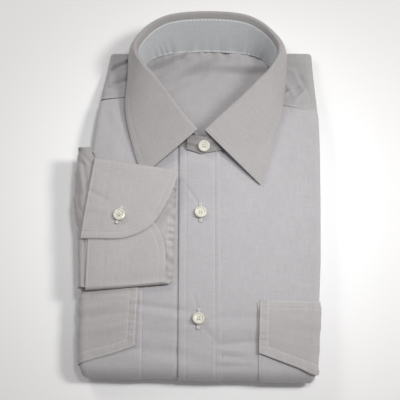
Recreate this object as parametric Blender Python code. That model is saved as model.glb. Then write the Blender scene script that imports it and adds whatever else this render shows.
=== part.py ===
"""A long-sleeve uniform shirt, buttoned and folded flat, lying face up.

Sizes are in millimetres until a mesh is made, in a frame with X across the
shirt, Y towards the collar, Z up from the table, and X = 0 on the front edge's
button line. The wearer's right front is on the -X side.
"""
import math

import bmesh
import bpy
import numpy as np
from mathutils import Matrix, Vector

for old in list(bpy.data.objects):
    bpy.data.objects.remove(old, do_unlink=True)

MM = 0.001

# Cloth
CLOTH = 1.0            # wall of a body panel with its turned edges
SEAM_GAP = 0.3         # room between pieces that touch
LAYER = CLOTH + SEAM_GAP
BAND = 1.8             # wall of the stiffened collar stand
LEAF_WALL = 1.4        # wall of the collar leaf
CUFF_WALL = 1.6        # wall of the stiffened cuff
SLEEVE_WALL = 2.4      # two sleeve layers pressed together

# Folded bundle
FOLD_Y = -160.0        # where the bottom fold begins
FOLD_R = 10.0          # radius of the bottom fold, half the bundle's height
SIDE_R = 4.3           # side roll of the upper strip
TAIL_R = 3.4           # side roll of the tail folded under
SHOULDER_R = 4.8       # roll at the shoulder line
SHOULDER_Y = 157.0     # where the shoulder roll begins
SHOULDER_TOP = 9.9     # height of the thin shoulder end
CORNER_PULL = 6.0      # how far the corners of the bottom fold round in
TAIL_INSET = 3.0       # the tail is narrower than the fronts
TAIL_HEM_Y = 106.0
TAIL_HEM_CURVE = 26.0
TURN_Q = -FOLD_Y
UNDER_Q = TURN_Q + math.pi * FOLD_R

# Front edge and placket
EDGE_X = -19.7         # free edge of the wearer's left front
PLACKET_W = 39.8
LAP_X = 17.0           # how far the right front runs under

# Pockets
POCKET_X = 53.5
FLAP_X = 57.0
FLAP_TOP = {-1: -87.3, 1: -98.9}
FLAP_SIDE = 51.5
FLAP_SLOPE = 0.36
POCKET_DROP = 11.0     # pocket mouth below the flap's seam
POCKET_ROLL = 6        # lines of the side roll that the pocket covers
FLAP_ROLL = 5

YOKE_SEAM_Y = 101.9
YOKE_SEAM_SLOPE = -0.041


def columns(names, rows):
    """Turn rows of numbers into one array for each named column."""
    return {name: np.array([row[k] for row in rows], float) for k, name in enumerate(names.split())}


def read(table, name, at, key):
    return float(np.interp(at, table[key], table[name]))


def ease(low, high, value):
    t = min(1.0, max(0.0, (value - low) / (high - low)))
    return t * t * (3 - 2 * t)


# Half-widths from the centre line to the side edges, and the crown of the fronts
BODY = columns("y right_side left_side crown", [
    (-160, 106.5, 107.5, 1.2),
    (-140, 109.6, 109.5, 2.6),
    (-96, 109.8, 111.8, 4.0),
    (-60, 108.5, 113.5, 4.0),
    (0, 107.5, 115.7, 4.0),
    (55, 105.3, 117.2, 4.0),
    (85, 102.3, 117.2, 3.0),
    (108, 99.6, 116.4, 1.6),
    (125, 97.3, 115.6, 0.6),
    (157, 91.5, 113.9, 0.0),
])

# Neckline, fold line and leaf edge of half the collar, from the back to the front
COLLAR = columns("at neck_x neck_y fold_x fold_y fold_z edge_x edge_y edge_z", [
    (0, 0, 164.8, 0, 192.5, 35.5, 0, 199.5, 1.0),
    (1, 27, 163.3, 34, 189.5, 36.0, 39, 196.0, 1.2),
    (2, 43, 160.6, 54, 180.5, 37.0, 62, 187.0, 2.0),
    (3, 56, 154.6, 68, 166.0, 38.5, 77, 171.0, 5.0),
    (4, 63, 147.0, 72.5, 152.0, 39.5, 79, 146.0, 15.0),
    (5, 68, 133.0, 63, 134.0, 40.5, 78, 115.0, 20.2),
    (6, 66, 115.0, 50, 119.5, 41.0, 76.5, 92.0, 23.6),
    (7, 47, 85.0, 34, 100.0, 41.0, 71.5, 69.0, 25.0),
    (8, 27, 54.0, 17, 80.5, 40.5, 64.5, 43.0, 24.9),
    (9, 0.4, 43.5, 3.0, 65.0, 39.0, 57.0, 17.8, 25.0),
])
LAST_ROW = 9


def half_width(side, q):
    """Distance from the centre line to the side edge, along the folded cloth."""
    column = "left_side" if side > 0 else "right_side"
    if q <= TURN_Q:
        return read(BODY, column, -q, "y")
    start = read(BODY, column, FOLD_Y, "y")
    if q < UNDER_Q:
        turn = min((q - TURN_Q) / FOLD_R, math.pi / 2)
        return start - CORNER_PULL * (1 - math.cos(turn))
    y = FOLD_Y + q - UNDER_Q
    widen = ease(FOLD_Y, FOLD_Y + 40, y)
    wide = read(BODY, column, min(y, TAIL_HEM_Y), "y") - TAIL_INSET
    return start - CORNER_PULL + widen * (wide - start + CORNER_PULL)


def base_height(y):
    """Height of the fronts' flat edge above the table."""
    return 2 * FOLD_R - (2 * FOLD_R - SHOULDER_TOP) * ease(70, 150, y)


def side_radius(q):
    if q <= TURN_Q:
        return SIDE_R + (SHOULDER_R - SIDE_R) * ease(100, 145, -q)
    turn = min((q - TURN_Q) / FOLD_R, math.pi)
    return SIDE_R + (TAIL_R - SIDE_R) * turn / math.pi


def crown(x, q):
    """Rise of the fronts over the layers inside, highest below the collar."""
    across = max(0.0, 1 - (x / 100.0) ** 2)
    if q <= TURN_Q:
        y = -q
        neck = 4.5 * math.exp(-(x / 45.0) ** 2 - ((y - 45) / 38.0) ** 2)
        sag = 0.5 * math.exp(-((y + 120) / 11.0) ** 2) - 0.5 * math.exp(-((y + 139) / 11.0) ** 2)
        return across * (read(BODY, "crown", y, "y") + sag) + neck
    turn = min((q - TURN_Q) / FOLD_R, math.pi)
    return across * BODY["crown"][0] * math.cos(turn / 2) ** 2


def across(p, q):
    """Cross line p as X, drop below the flat and the roll angle at q."""
    side = 1 if p >= 0 else -1
    size = abs(p)
    radius = side_radius(q)
    flat_end = half_width(side, q) - radius
    if size <= 80:
        return p, 0.0, 0.0
    if size <= 100:
        return side * (80 + (size - 80) / 20 * (flat_end - 80)), 0.0, 0.0
    angle = (size - 100) / 16 * math.pi
    return side * (flat_end + radius * math.sin(angle)), radius * (1 - math.cos(angle)), side * angle


def cloth(p, q, lift=0.0):
    """Point of the folded front at cross line p and length q, lifted off the cloth."""
    x, drop, angle = across(p, q)
    if q <= TURN_Q:
        y, z, normal_y, normal_z = -q, base_height(-q), 0.0, 1.0
    elif q < UNDER_Q:
        turn = (q - TURN_Q) / FOLD_R
        y = FOLD_Y - FOLD_R * math.sin(turn)
        z = FOLD_R + FOLD_R * math.cos(turn)
        normal_y, normal_z = -math.sin(turn), math.cos(turn)
    else:
        y, z, normal_y, normal_z = FOLD_Y + q - UNDER_Q, 0.0, 0.0, -1.0
    out = crown(x, q) * (1 if abs(p) <= 100 else 0) - drop + lift * math.cos(angle)
    y += normal_y * out - 0.023 * x * ease(60, TURN_Q, q)
    return (x + lift * math.sin(angle), y, z + normal_z * out)


def front_height(x, y):
    return base_height(y) + crown(x, -y)


def tidy_mesh(name, points, faces, look, smooth_deg=38):
    """One closed body from points in millimetres, with its faces turned out."""
    mesh = bpy.data.meshes.new(name)
    mesh.from_pydata([tuple(c * MM for c in point) for point in points], [], faces)
    shell = bmesh.new()
    shell.from_mesh(mesh)
    loose = [v for v in shell.verts if not v.link_faces]
    bmesh.ops.delete(shell, geom=loose, context="VERTS")
    bmesh.ops.recalc_face_normals(shell, faces=shell.faces[:])
    if shell.calc_volume(signed=True) < 0:
        bmesh.ops.reverse_faces(shell, faces=shell.faces[:])
    shell.to_mesh(mesh)
    shell.free()
    mesh.shade_smooth()
    mesh.set_sharp_from_angle(angle=math.radians(smooth_deg))
    piece = bpy.data.objects.new(name, mesh)
    bpy.context.scene.collection.objects.link(piece)
    if look:
        mesh.materials.append(look)
    return piece


def wall(name, outer, inner, look, keep=None, closed=False):
    """A wall between two grids of points, closed along every free edge.

    keep() names the cells that have cloth; with closed, each row is a ring.
    """
    rows, cols = len(outer), len(outer[0])
    points = [p for row in outer for p in row] + [p for row in inner for p in row]
    shift = rows * cols
    faces = []
    edges = {}
    for i in range(rows - 1):
        for j in range(cols if closed else cols - 1):
            if keep is not None and not keep(i, j):
                continue
            n = (j + 1) % cols
            a, b, c, d = i * cols + j, i * cols + n, (i + 1) * cols + n, (i + 1) * cols + j
            faces += [(a, b, c), (a, c, d)]
            faces += [(a + shift, c + shift, b + shift), (a + shift, d + shift, c + shift)]
            for edge in ((a, b), (b, c), (c, d), (d, a)):
                back = (edge[1], edge[0])
                if back in edges:
                    del edges[back]
                else:
                    edges[edge] = True
    for a, b in edges:
        faces.append((b, a, a + shift, b + shift))
    return tidy_mesh(name, points, faces, look)


def cloth_look(name, colour, roughness):
    look = bpy.data.materials.new(name)
    look.use_nodes = True
    shader = look.node_tree.nodes["Principled BSDF"]
    shader.inputs["Base Color"].default_value = (*colour, 1)
    shader.inputs["Roughness"].default_value = roughness
    shader.inputs["Metallic"].default_value = 0.0
    return look


BODY_CLOTH = cloth_look("body_cloth", (0.50, 0.49, 0.53), 0.8)
TRIM_CLOTH = cloth_look("trim_cloth", (0.50, 0.48, 0.48), 0.8)
INNER_CLOTH = cloth_look("inner_cloth", (0.44, 0.44, 0.46), 0.85)
BUTTON = cloth_look("button_resin", (0.78, 0.74, 0.62), 0.25)

# Cross lines: flat lines in millimetres, then the side roll
FLAT_LINES = (0, 40, 75, 90, 95, 100)
EDGE_LINES = (-24.5, -20.2, EDGE_X, 0, LAP_X, EDGE_X + PLACKET_W, 20.6, 24.5)
ROLL_LINES = (102, 104, 106, 108, 110, 112, 114, 115.2)


def cross_lines(low, high, extra=()):
    """Every shared cross line between two places, so that layers stay parallel."""
    lines = {s * v for v in FLAT_LINES + ROLL_LINES for s in (-1, 1)}
    lines |= set(EDGE_LINES) | set(extra) | {low, high}
    return sorted(v for v in lines if low <= v <= high)


TURN_LINES = [TURN_Q + math.pi * FOLD_R * k / 8 for k in range(9)]
FLAT_Q = (-30, -12, 8, 30, 55, 80, 98, 109, 119, 129, 139, 149)
WARP_ROWS = 6
UNDER_Y = (-145, -128, -96, -50, 10)


def sink(x):
    """The right front runs one layer deeper where the left front laps it."""
    return LAYER * ease(-24.5, -20.2, x) * (1 - ease(20.6, 24.5, x))


def neck_point(at, column):
    """A smooth curve through the collar rows, for one half."""
    k = min(int(at), LAST_ROW - 1)
    values = COLLAR[column]
    odd = column.endswith("_x")
    before = values[k - 1] if k > 0 else (-values[1] if odd else values[1])
    after = values[k + 2] if k + 2 <= LAST_ROW else 2 * values[k + 1] - values[k]
    t = at - k
    m0, m1 = (values[k + 1] - before) / 2, (after - values[k]) / 2
    h = t * t * (3 - 2 * t)
    return (values[k] * (1 - h) + values[k + 1] * h
            + m0 * t * (1 - t) ** 2 + m1 * t * t * (t - 1))


def lean(x, y):
    """The collar sits a little to one side and turned on the shirt."""
    shift = 1.0 + 6.5 * ease(60, 150, y)
    turn = -0.075 * (1 - ease(100, 165, y))
    return x + shift, y + turn * x


def neck_curve(at):
    """Seam of the collar stand: at runs -9 (right front) .. 0 (back) .. 9."""
    side = 1 if at >= 0 else -1
    x, y = lean(side * neck_point(abs(at), "neck_x"), neck_point(abs(at), "neck_y"))
    return x, y


NECK_PATH = [neck_curve(k / 4) for k in range(-36, 37)]
FRONT_NECK = sorted((x, y) for k, (x, y) in enumerate(NECK_PATH) if abs(k - 36) >= 24)


def neck_front_y(x):
    """Neckline on the fronts at X, for the front half of the ring."""
    xs = [p[0] for p in FRONT_NECK]
    ys = [p[1] for p in FRONT_NECK]
    return float(np.interp(x, xs, ys)) - 0.6


def yoke_seam_y(x):
    return YOKE_SEAM_Y + YOKE_SEAM_SLOPE * x


def front_top_q(p):
    """Upper edge of a front at cross line p: neckline, then yoke seam."""
    x = across(p, -YOKE_SEAM_Y)[0]
    left_end, right_end = FRONT_NECK[0][0], FRONT_NECK[-1][0]
    if left_end < x < right_end:
        return -min(neck_front_y(x), yoke_seam_y(x))
    return -yoke_seam_y(x)


def upper_rows(start):
    """Lengthwise places between an upper edge and the first shared row."""
    return [start + (FLAT_Q[0] - start) * k / WARP_ROWS for k in range(WARP_ROWS)] + list(FLAT_Q)


def q_rows(start, stop):
    """Lengthwise places of one cross line, from its upper edge to the tail hem."""
    return upper_rows(start) + TURN_LINES + [UNDER_Q + y - FOLD_Y for y in UNDER_Y] + [stop]


def tail_q(p):
    x = across(p, UNDER_Q + 200)[0]
    return UNDER_Q + (TAIL_HEM_Y - FOLD_Y) - TAIL_HEM_CURVE * (x / 110.0) ** 2


def front_panel(name, low, high, level):
    """One front from its neckline and yoke seam, round the bottom fold, to the tail hem."""
    lines = cross_lines(low, high, (FRONT_NECK[0][0] - 0.1, FRONT_NECK[-1][0] + 0.1, -57, 57))
    grids = []
    for depth in (0.0, -CLOTH):
        grids.append([[cloth(p, q, level(p) + depth) for q in q_rows(front_top_q(p), tail_q(p))]
                      for p in lines])
    return wall(name, grids[0], grids[1], BODY_CLOTH)


def strip_on_front(name, lines, rows_of, levels_of, look):
    """A piece that lies on the front: its points are the front's, moved out."""
    outer = [[cloth(p, q, levels_of(p, q) + CLOTH) for q in rows_of(p)] for p in lines]
    inner = [[cloth(p, q, levels_of(p, q)) for q in rows_of(p)] for p in lines]
    return wall(name, outer, inner, look)


def make_fronts():
    front_panel("right_front", -115.2, LAP_X, lambda p: -sink(p))
    front_panel("left_front", EDGE_X, 115.2, lambda p: 0.0)


def make_placket():
    lines = cross_lines(EDGE_X, EDGE_X + PLACKET_W)

    def rows(p):
        return upper_rows(-neck_front_y(p) + 0.4) + TURN_LINES[:6]

    strip_on_front("front_placket", lines, rows, lambda p, q: SEAM_GAP, TRIM_CLOTH)


def make_pocket(side):
    """A patch that runs round the side edge and the bottom fold, with its flap."""
    word = "left" if side > 0 else "right"
    top_y = FLAP_TOP[side]
    mouth_q = -top_y + POCKET_DROP

    def ordered(start, lines):
        return sorted(side * v for v in {start} | {v for v in lines if v > start})

    pocket_lines = ordered(POCKET_X, FLAT_LINES + ROLL_LINES[:POCKET_ROLL] + (57,))

    def pocket_rows(p):
        return [mouth_q] + [q for q in FLAT_Q if q > mouth_q + 1] + TURN_LINES[:6]

    strip_on_front("pocket_" + word, pocket_lines, pocket_rows, lambda p, q: SEAM_GAP, TRIM_CLOTH)

    flap_lines = ordered(FLAP_X, FLAT_LINES + ROLL_LINES[:FLAP_ROLL])
    marks = (0.0, 4.0, 10.0)
    last_q = -top_y + FLAP_SIDE + FLAP_SLOPE * (116 - FLAP_X)
    shared = [q for q in FLAT_Q + tuple(TURN_LINES) if marks[-1] + 3 < q + top_y and q < last_q + 4]

    def flap_end(p):
        return -top_y + FLAP_SIDE + FLAP_SLOPE * (abs(p) - FLAP_X)

    def flap_rows(p):
        stop = flap_end(p)
        count = len(shared)
        below = [min(q, stop - 0.5 * (count - 1 - k)) for k, q in enumerate(shared)]
        return [m - top_y for m in marks] + below[:-1] + [stop]

    def flap_level(p, q):
        return SEAM_GAP + LAYER * ease(1, 9.5, q + top_y)

    strip_on_front("flap_" + word, flap_lines, flap_rows, flap_level, TRIM_CLOTH)


def bottom_height(y):
    """Underside of the upper strip, which is also the floor inside the neck."""
    return base_height(y) - 2 * side_radius(-y)


def sleeve_inset(y):
    """Room at the right side where the sleeve is tucked between the layers."""
    return 15.0 * ease(-97, -92, y) * (1 - ease(55, 60, y))


CORE_TAIL_Y = 92.0     # the hidden tail layers end here, under the upper strip


def make_core():
    """Hidden layers in one rounded solid: upper strip, tucked layers and tail."""
    tops = [156, 146, 134, 122, 112, 106.5, 98, 86, 72, 59, 55, 42, 24, 0, -30, -60, -92, -97,
            -109, -119, -129, -139, -152]
    turns = TURN_LINES[::2]
    half = len(tops) + len(turns) // 2
    flats = {s * v for v in (40, 75, 90, 100, 104, 108, 112, 116) for s in (-1, 1)}
    lines = sorted(flats | {-24.5, -20.2, 0, 20.6, 24.5})
    fold_x = {s: half_width(s, UNDER_Q) - SIDE_R - 0.8 for s in (-1, 1)}
    grid = []
    for q in [-y for y in tops] + turns:
        relief = 0.5 + 0.5 * ease(20, 50, -q) + 0.6 * ease(80, 98, -q)
        row = [cloth(p, q, -LAYER - relief - sink(p)) for p in lines]
        if q >= TURN_Q:
            row[0] = (-min(fold_x[-1], -row[0][0]),) + row[0][1:]
            row[-1] = (min(fold_x[1], row[-1][0]),) + row[-1][1:]
        grid.append(row)
    for k in range(len(tops) - 1, -1, -1):
        y = tops[k]
        row = []
        if y > CORE_TAIL_Y:
            floor = bottom_height(y) + LAYER + 0.9
            for p in lines:
                side = 1 if p >= 0 else -1
                wide = half_width(side, -y) - 12
                row.append((p / 116 * wide, y, floor))
        else:
            q = UNDER_Q + y - FOLD_Y
            row = [cloth(p, q, -LAYER - 0.8 - sink(p)) for p in lines]
        grid.append(row)
    points = [p for row in grid for p in row]
    cols = len(lines)
    last = len(grid) - 1
    faces = []
    for i in range(last):
        for j in range(cols - 1):
            a, b, c, d = i * cols + j, i * cols + j + 1, (i + 1) * cols + j + 1, (i + 1) * cols + j
            faces += [(a, b, c), (a, c, d)]
    end_chains = []
    tuck = columns("inset height", [(5.4, 1.0), (2.9, 0.92), (2.0, 0.62), (2.9, 0.26), (5.8, 0.0)])
    for column, side in ((0, -1), (cols - 1, 1)):
        previous = None
        for i in range(half):
            high = grid[i][column]
            low = grid[last - i][column]
            chain = [i * cols + column]
            for m in range(5):
                share = (m + 1) / 6
                if i < len(tops):
                    y = tops[i]
                    wide = half_width(side, -y)
                    if y > CORE_TAIL_Y:
                        spot = (side * (wide - 7.0 - 0.8 * m), y, bottom_height(y) + LAYER + 0.9)
                    else:
                        room = sleeve_inset(y) if side < 0 else 0.0
                        if m == 4:
                            wide = half_width(side, UNDER_Q + y - FOLD_Y)
                        low_side = 2 * TAIL_R + 0.4 - 1.8 * ease(80, 98, y)
                        high_side = bottom_height(y) - SEAM_GAP
                        rise = low_side + tuck["height"][m] * (high_side - low_side)
                        x = side * (wide - tuck["inset"][m] - room)
                        spot = (x, y - 0.023 * x * ease(60, TURN_Q, -y), rise)
                else:
                    spot = tuple(high[c] + (low[c] - high[c]) * share for c in range(3))
                chain.append(len(points))
                points.append(spot)
            chain.append((last - i) * cols + column)
            if previous is None:
                end_chains.append(chain)
            else:
                for m in range(6):
                    faces.append((previous[m], previous[m + 1], chain[m + 1], chain[m]))
            previous = chain
        faces.append(tuple(previous) + (half * cols + column,))
    left_chain, right_chain = end_chains
    for j in range(1, cols - 2):
        faces.append((j, j + 1, last * cols + j + 1, last * cols + j))
    faces.append(tuple(left_chain[::-1]) + (1, last * cols + 1))
    faces.append(tuple(right_chain) + (last * cols + cols - 2, cols - 2))
    core = tidy_mesh("folded_layers", points, faces, INNER_CLOTH)
    bay = make_bay_cutter()
    cut = core.modifiers.new("neck_bay", "BOOLEAN")
    cut.operation = "DIFFERENCE"
    cut.solver = "EXACT"
    cut.object = bay
    return core


FLOOR_ROWS = (48, 55, 64, 76, 88, 98)   # places of the floor inside the collar
BAY_ROOM = 0.6


def ring_x(side, y):
    """Where the neckline ring stands at Y on one side."""
    half = [neck_curve(side * k / 4) for k in range(0, 37)]
    hits = []
    for (x0, y0), (x1, y1) in zip(half, half[1:]):
        if (y0 - y) * (y1 - y) <= 0 and y0 != y1:
            hits.append(x0 + (x1 - x0) * (y - y0) / (y1 - y0))
    return hits[-1] if hits else 0.0


def make_bay_cutter():
    """The space inside the collar, down to the back's inner face."""
    rows = [44.6, *FLOOR_ROWS, 104, 112, 125, 135, 146, 156, 175]
    high, low = [], []
    for y in rows:
        near = min(y, 146)
        left = ring_x(-1, near) if y > 46 else ring_x(-1, 46.5) + 4
        right = ring_x(1, near) if y > 46 else ring_x(1, 46.5) - 4
        floor = bottom_height(min(y, 112)) - 2 * SEAM_GAP
        if y > TAIL_HEM_Y:
            floor = -2.0
        left, right = left - BAY_ROOM, right + BAY_ROOM
        high.append([(left + (right - left) * k / 4, y, 60.0) for k in range(5)])
        low.append([(left + (right - left) * k / 4, y, floor) for k in range(5)])
    cutter = wall("bay_cutter", high, low, None)
    cutter.hide_render = True
    cutter.display_type = "WIRE"
    return cutter


def collar_frame(at):
    """Neck seam, fold and leaf edge as vectors at one place along the collar."""
    side = 1 if at >= 0 else -1
    size = abs(at)
    nx, ny = neck_curve(at)
    fold = [neck_point(size, "fold_" + c) for c in "xyz"]
    edge = [neck_point(size, "edge_" + c) for c in "xyz"]
    fx, fy = lean(side * fold[0], fold[1])
    ex, ey = lean(side * edge[0], edge[1])
    seat = front_height(nx, min(ny, SHOULDER_Y)) + 1.8 - 1.5 * ease(154, 165, ny)
    return Vector((nx, ny, seat)), Vector((fx, fy, fold[2])), Vector((ex, ey, edge[2]))


COLLAR_STEPS = [k / 2 for k in range(-2 * LAST_ROW, 2 * LAST_ROW + 1)]
FOLD_SEAM = 4.0        # the leaf is sewn to the stand this far below the fold's roll
FOLD_ROLL = 1.8        # radius of the fold


def leaf_profile(at):
    """Middle line of the leaf, from its seam inside, over the fold, to its edge."""
    neck, fold, edge = collar_frame(at)
    up = (fold - neck).normalized()
    down = (edge - fold).normalized()
    ahead, behind = min(at + 0.25, LAST_ROW), max(at - 0.25, -LAST_ROW)
    along = (collar_frame(ahead)[1] - collar_frame(behind)[1]).normalized()
    in_arm = (along * up.dot(along) - up).normalized()
    out_arm = (down - along * down.dot(along)).normalized()
    wedge = (in_arm + out_arm).normalized()
    half = in_arm.angle(out_arm) / 2
    top = fold - wedge * (FOLD_ROLL / math.sin(half) - FOLD_ROLL - LEAF_WALL / 2)
    centre = top + wedge * FOLD_ROLL / math.sin(half)
    first = top + in_arm * FOLD_ROLL / math.tan(half)
    second = top + out_arm * FOLD_ROLL / math.tan(half)
    arm_a, arm_b = first - centre, second - centre
    turn = arm_a.angle(arm_b)
    arc = []
    for k in range(5):
        share = k / 4
        mix = arm_a * math.sin((1 - share) * turn) + arm_b * math.sin(share * turn)
        arc.append(centre + mix / math.sin(turn))
    seam = first - up * FOLD_SEAM
    side = up.cross(down).cross(down).normalized()
    if side.z < 0:
        side = -side
    rest = []
    for share in (0.2, 0.45, 0.72, 1.0):
        belly = 1.6 * (1 - ease(6.5, 8.5, abs(at)))
        rest.append(second + (edge - second) * share + side * belly * math.sin(math.pi * share))
    return [seam] + arc + rest


def wall_from_middle(name, lines, thick, look):
    """A wall of even thickness about a grid of middle points."""
    rows, cols = len(lines), len(lines[0])
    outer, inner = [], []
    for i in range(rows):
        front, back = [], []
        for j in range(cols):
            along = lines[min(i + 1, rows - 1)][j] - lines[max(i - 1, 0)][j]
            across_line = lines[i][min(j + 1, cols - 1)] - lines[i][max(j - 1, 0)]
            normal = along.cross(across_line).normalized() * thick / 2
            front.append(lines[i][j] + normal)
            back.append(lines[i][j] - normal)
        outer.append(front)
        inner.append(back)
    return wall(name, outer, inner, look)


def make_leaf():
    return wall_from_middle("collar_leaf", [leaf_profile(at) for at in COLLAR_STEPS], LEAF_WALL, TRIM_CLOTH)


LAP_DROP = 0.3         # the lapped ends are this share lower than the band


def make_stand():
    """The neck band: a ring of wall whose two front ends lap under the button."""
    ends = []
    for at in COLLAR_STEPS:
        neck = collar_frame(at)[0]
        seam = leaf_profile(at)[0]
        gap = SEAM_GAP + 1.6 * ease(7, 9, abs(at))
        ends.append((neck, seam - (seam - neck).normalized() * gap))
    under_end, upper_end = ends[-2], ends[1]
    low_top = [(neck, seam - (seam - neck) * LAP_DROP) for neck, seam in (under_end, upper_end)]
    ends = [low_top[0]] + ends + [low_top[1]]
    count = len(ends)
    lines = []
    for k, (neck, seam) in enumerate(ends):
        along = ends[min(k + 1, count - 1)][0] - ends[max(k - 1, 0)][0]
        normal = (seam - neck).cross(along).normalized()
        sunk = (BAND + 2 * SEAM_GAP) * (1 - ease(2, 5, k))
        lines.append([neck + (seam - neck) * share - normal * sunk for share in (0, 0.33, 0.66, 1)])
    return wall_from_middle("collar_stand", lines, BAND, TRIM_CLOTH)


# Height of the cuff's underside at its lower left corner, then its slopes in X and Y
CUFF_FLOOR = (22.2, 0.0324, 0.0397)
CUFF_SPACE = columns("from_seam room", [(0, 3.1), (9, 3.1), (40, 1.8), (84, 2.4)])
LAP_END = 0.37
UNDER_END = 0.72


def cuff_floor(x, y):
    return CUFF_FLOOR[0] + CUFF_FLOOR[1] * (x + 104) + CUFF_FLOOR[2] * (y + 85)


def cuff_seam_x(g):
    return -105.4 + 4.8 * g ** 1.6


def cuff_span(x):
    """Bottom and top fold of the flattened cuff at X."""
    return -90.9 + 0.185 * (x + 105.4), 37.5 - 0.16 * (x + 100.6)


def cuff_samples():
    """Stations round the cuff: share of its depth, layer, arc angle and wrist edge."""
    stations = []
    for g in (UNDER_END, 0.71, 0.67, 0.6, 0.5, 0.36, 0.22, 0.1, 0.0):
        bend = max(0.0, (g - 0.22) / (UNDER_END - 0.22))
        stations.append((g, "lower", None, -82 + 50 * math.sqrt(max(0.0, 1 - bend * bend))))
    for k in range(1, 5):
        stations.append((0.0, "bottom", math.pi * k / 5, -32 + k))
    for g in (0.0, 0.14, 0.32, 0.5, 0.68, 0.86, 1.0):
        stations.append((g, "under", None, -27.5 + 5.5 * g))
    for k in range(1, 5):
        stations.append((1.0, "top", math.pi * k / 5, -22 + 0.2 * k))
    for g in (1.0, 0.9, 0.8, 0.7, 0.6, 0.5, 0.43, 0.39, LAP_END):
        bend = (1 - g) / (1 - LAP_END)
        stations.append((g, "upper", None, -81.6 + 60.8 * math.sqrt(max(0.0, 1 - bend * bend))))
    return stations


def make_cuff():
    """One stiff strip bent into a flattened loop, its round ends lapped."""
    shares = (0.0, 0.15, 0.35, 0.55, 0.75, 0.9, 1.0)
    outer, inner = [], []
    for g, layer, angle, wrist in cuff_samples():
        rows = ([], [])
        for share in shares:
            seam = cuff_seam_x(g)
            x = seam + share * (wrist - seam)
            space = read(CUFF_SPACE, "room", x + 105.4, "from_seam")
            half = CUFF_WALL / 2
            lower = CUFF_WALL + space + half
            upper = lower + CUFF_WALL + SEAM_GAP
            low_r, top_r = (lower - half) / 2, (upper - half) / 2
            y_low, y_top = cuff_span(x)
            start, stop = y_low + low_r, y_top - top_r
            y = start + g * (stop - start)
            for k, offset in enumerate((half, -half)):
                if layer == "bottom":
                    spot_y = y - (low_r + offset) * math.sin(angle)
                    rise = half + low_r + (low_r + offset) * math.cos(angle)
                elif layer == "top":
                    spot_y = y + (top_r + offset) * math.sin(angle)
                    rise = half + top_r - (top_r + offset) * math.cos(angle)
                else:
                    spot_y = y
                    middle = {"lower": lower, "under": half, "upper": upper}[layer]
                    rise = middle + (-offset if layer == "under" else offset)
                rows[k].append((x, spot_y, cuff_floor(x, spot_y) + rise))
        outer.append(rows[0])
        inner.append(rows[1])
    return wall("cuff", outer, inner, TRIM_CLOTH)


SLEEVE = columns("y bulge", [(-88, 3.2), (-60, 4.6), (-32, 6.4), (-15, 9.5), (0, 11.2), (25, 10.4), (50, 8.0)])
SLEEVE_TURN_X = -108.3
SLEEVE_TUCK_X = -98.0
SLEEVE_TUCK_Z = 9.1
PLEATS = columns("y high wide", [(22, 1.3, 7), (2, -1.5, 9), (-20, 0.9, 7), (-44, -1.2, 8), (-66, 0.9, 7)])


def pleat(y):
    rise = 0.0
    for centre, high, wide in zip(PLEATS["y"], PLEATS["high"], PLEATS["wide"]):
        rise += high * math.exp(-((y - centre) / wide) ** 2)
    return rise


def make_sleeve():
    """The sleeve end comes from the folded layers, round the side and into the cuff."""
    stations = [("arm", k / 3) for k in range(4)] + [("turn", k / 9) for k in range(1, 9)]
    stations += [("tuck", k / 2) for k in range(3)]
    shares = [k / 13 for k in range(14)]
    lines = []
    for share in shares:
        row = []
        for part, place in stations:
            flare = ease(0.4, 1.0, place) if part == "arm" else 1.0
            low = -84.5 - 0.8 * flare
            high = 32.5 + 17.0 * flare
            y = low + share * (high - low)
            bulge = read(SLEEVE, "bulge", y, "y")
            g = min(1.0, max(0.0, (y + 90) / 128))
            mouth = cuff_seam_x(g) + 4.0
            top = cuff_floor(-104, y) + CUFF_WALL + SEAM_GAP + SLEEVE_WALL / 2
            half = (top - SLEEVE_TUCK_Z) / 2
            if part == "arm":
                x = mouth + place * (SLEEVE_TURN_X - mouth)
                z = cuff_floor(x, y) + CUFF_WALL + SEAM_GAP + SLEEVE_WALL / 2
                z = z * (1 - place) + top * place + 0.5 * pleat(y) * (1 if place == 1 else 0)
            elif part == "turn":
                angle = math.pi * place
                swell = pleat(y) * math.sin(angle)
                x = SLEEVE_TURN_X - (bulge + swell) * math.sin(angle)
                z = SLEEVE_TUCK_Z + half + half * math.cos(angle)
            else:
                x = SLEEVE_TURN_X + place * (SLEEVE_TUCK_X - SLEEVE_TURN_X)
                z = SLEEVE_TUCK_Z
            row.append(Vector((x, y, z)))
        lines.append(row)
    return wall_from_middle("sleeve", lines, SLEEVE_WALL, TRIM_CLOTH)


FLOOR_FOLDS = columns("x y high wide", [(-32, 150, 1.8, 7), (-8, 141, 2.2, 9), (22, 118, 1.4, 12)])


def floor_fold(x, y):
    """Soft slanting folds of the back, seen inside the collar."""
    rise = 0.0
    for cx, cy, high, wide in zip(*(FLOOR_FOLDS[c] for c in ("x", "y", "high", "wide"))):
        along, off = (x - cx) * 0.9 + (y - cy) * 0.43, (y - cy) * 0.9 - (x - cx) * 0.43
        rise += high * math.exp(-(off / wide) ** 2 - (along / 26.0) ** 2)
    return rise


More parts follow.
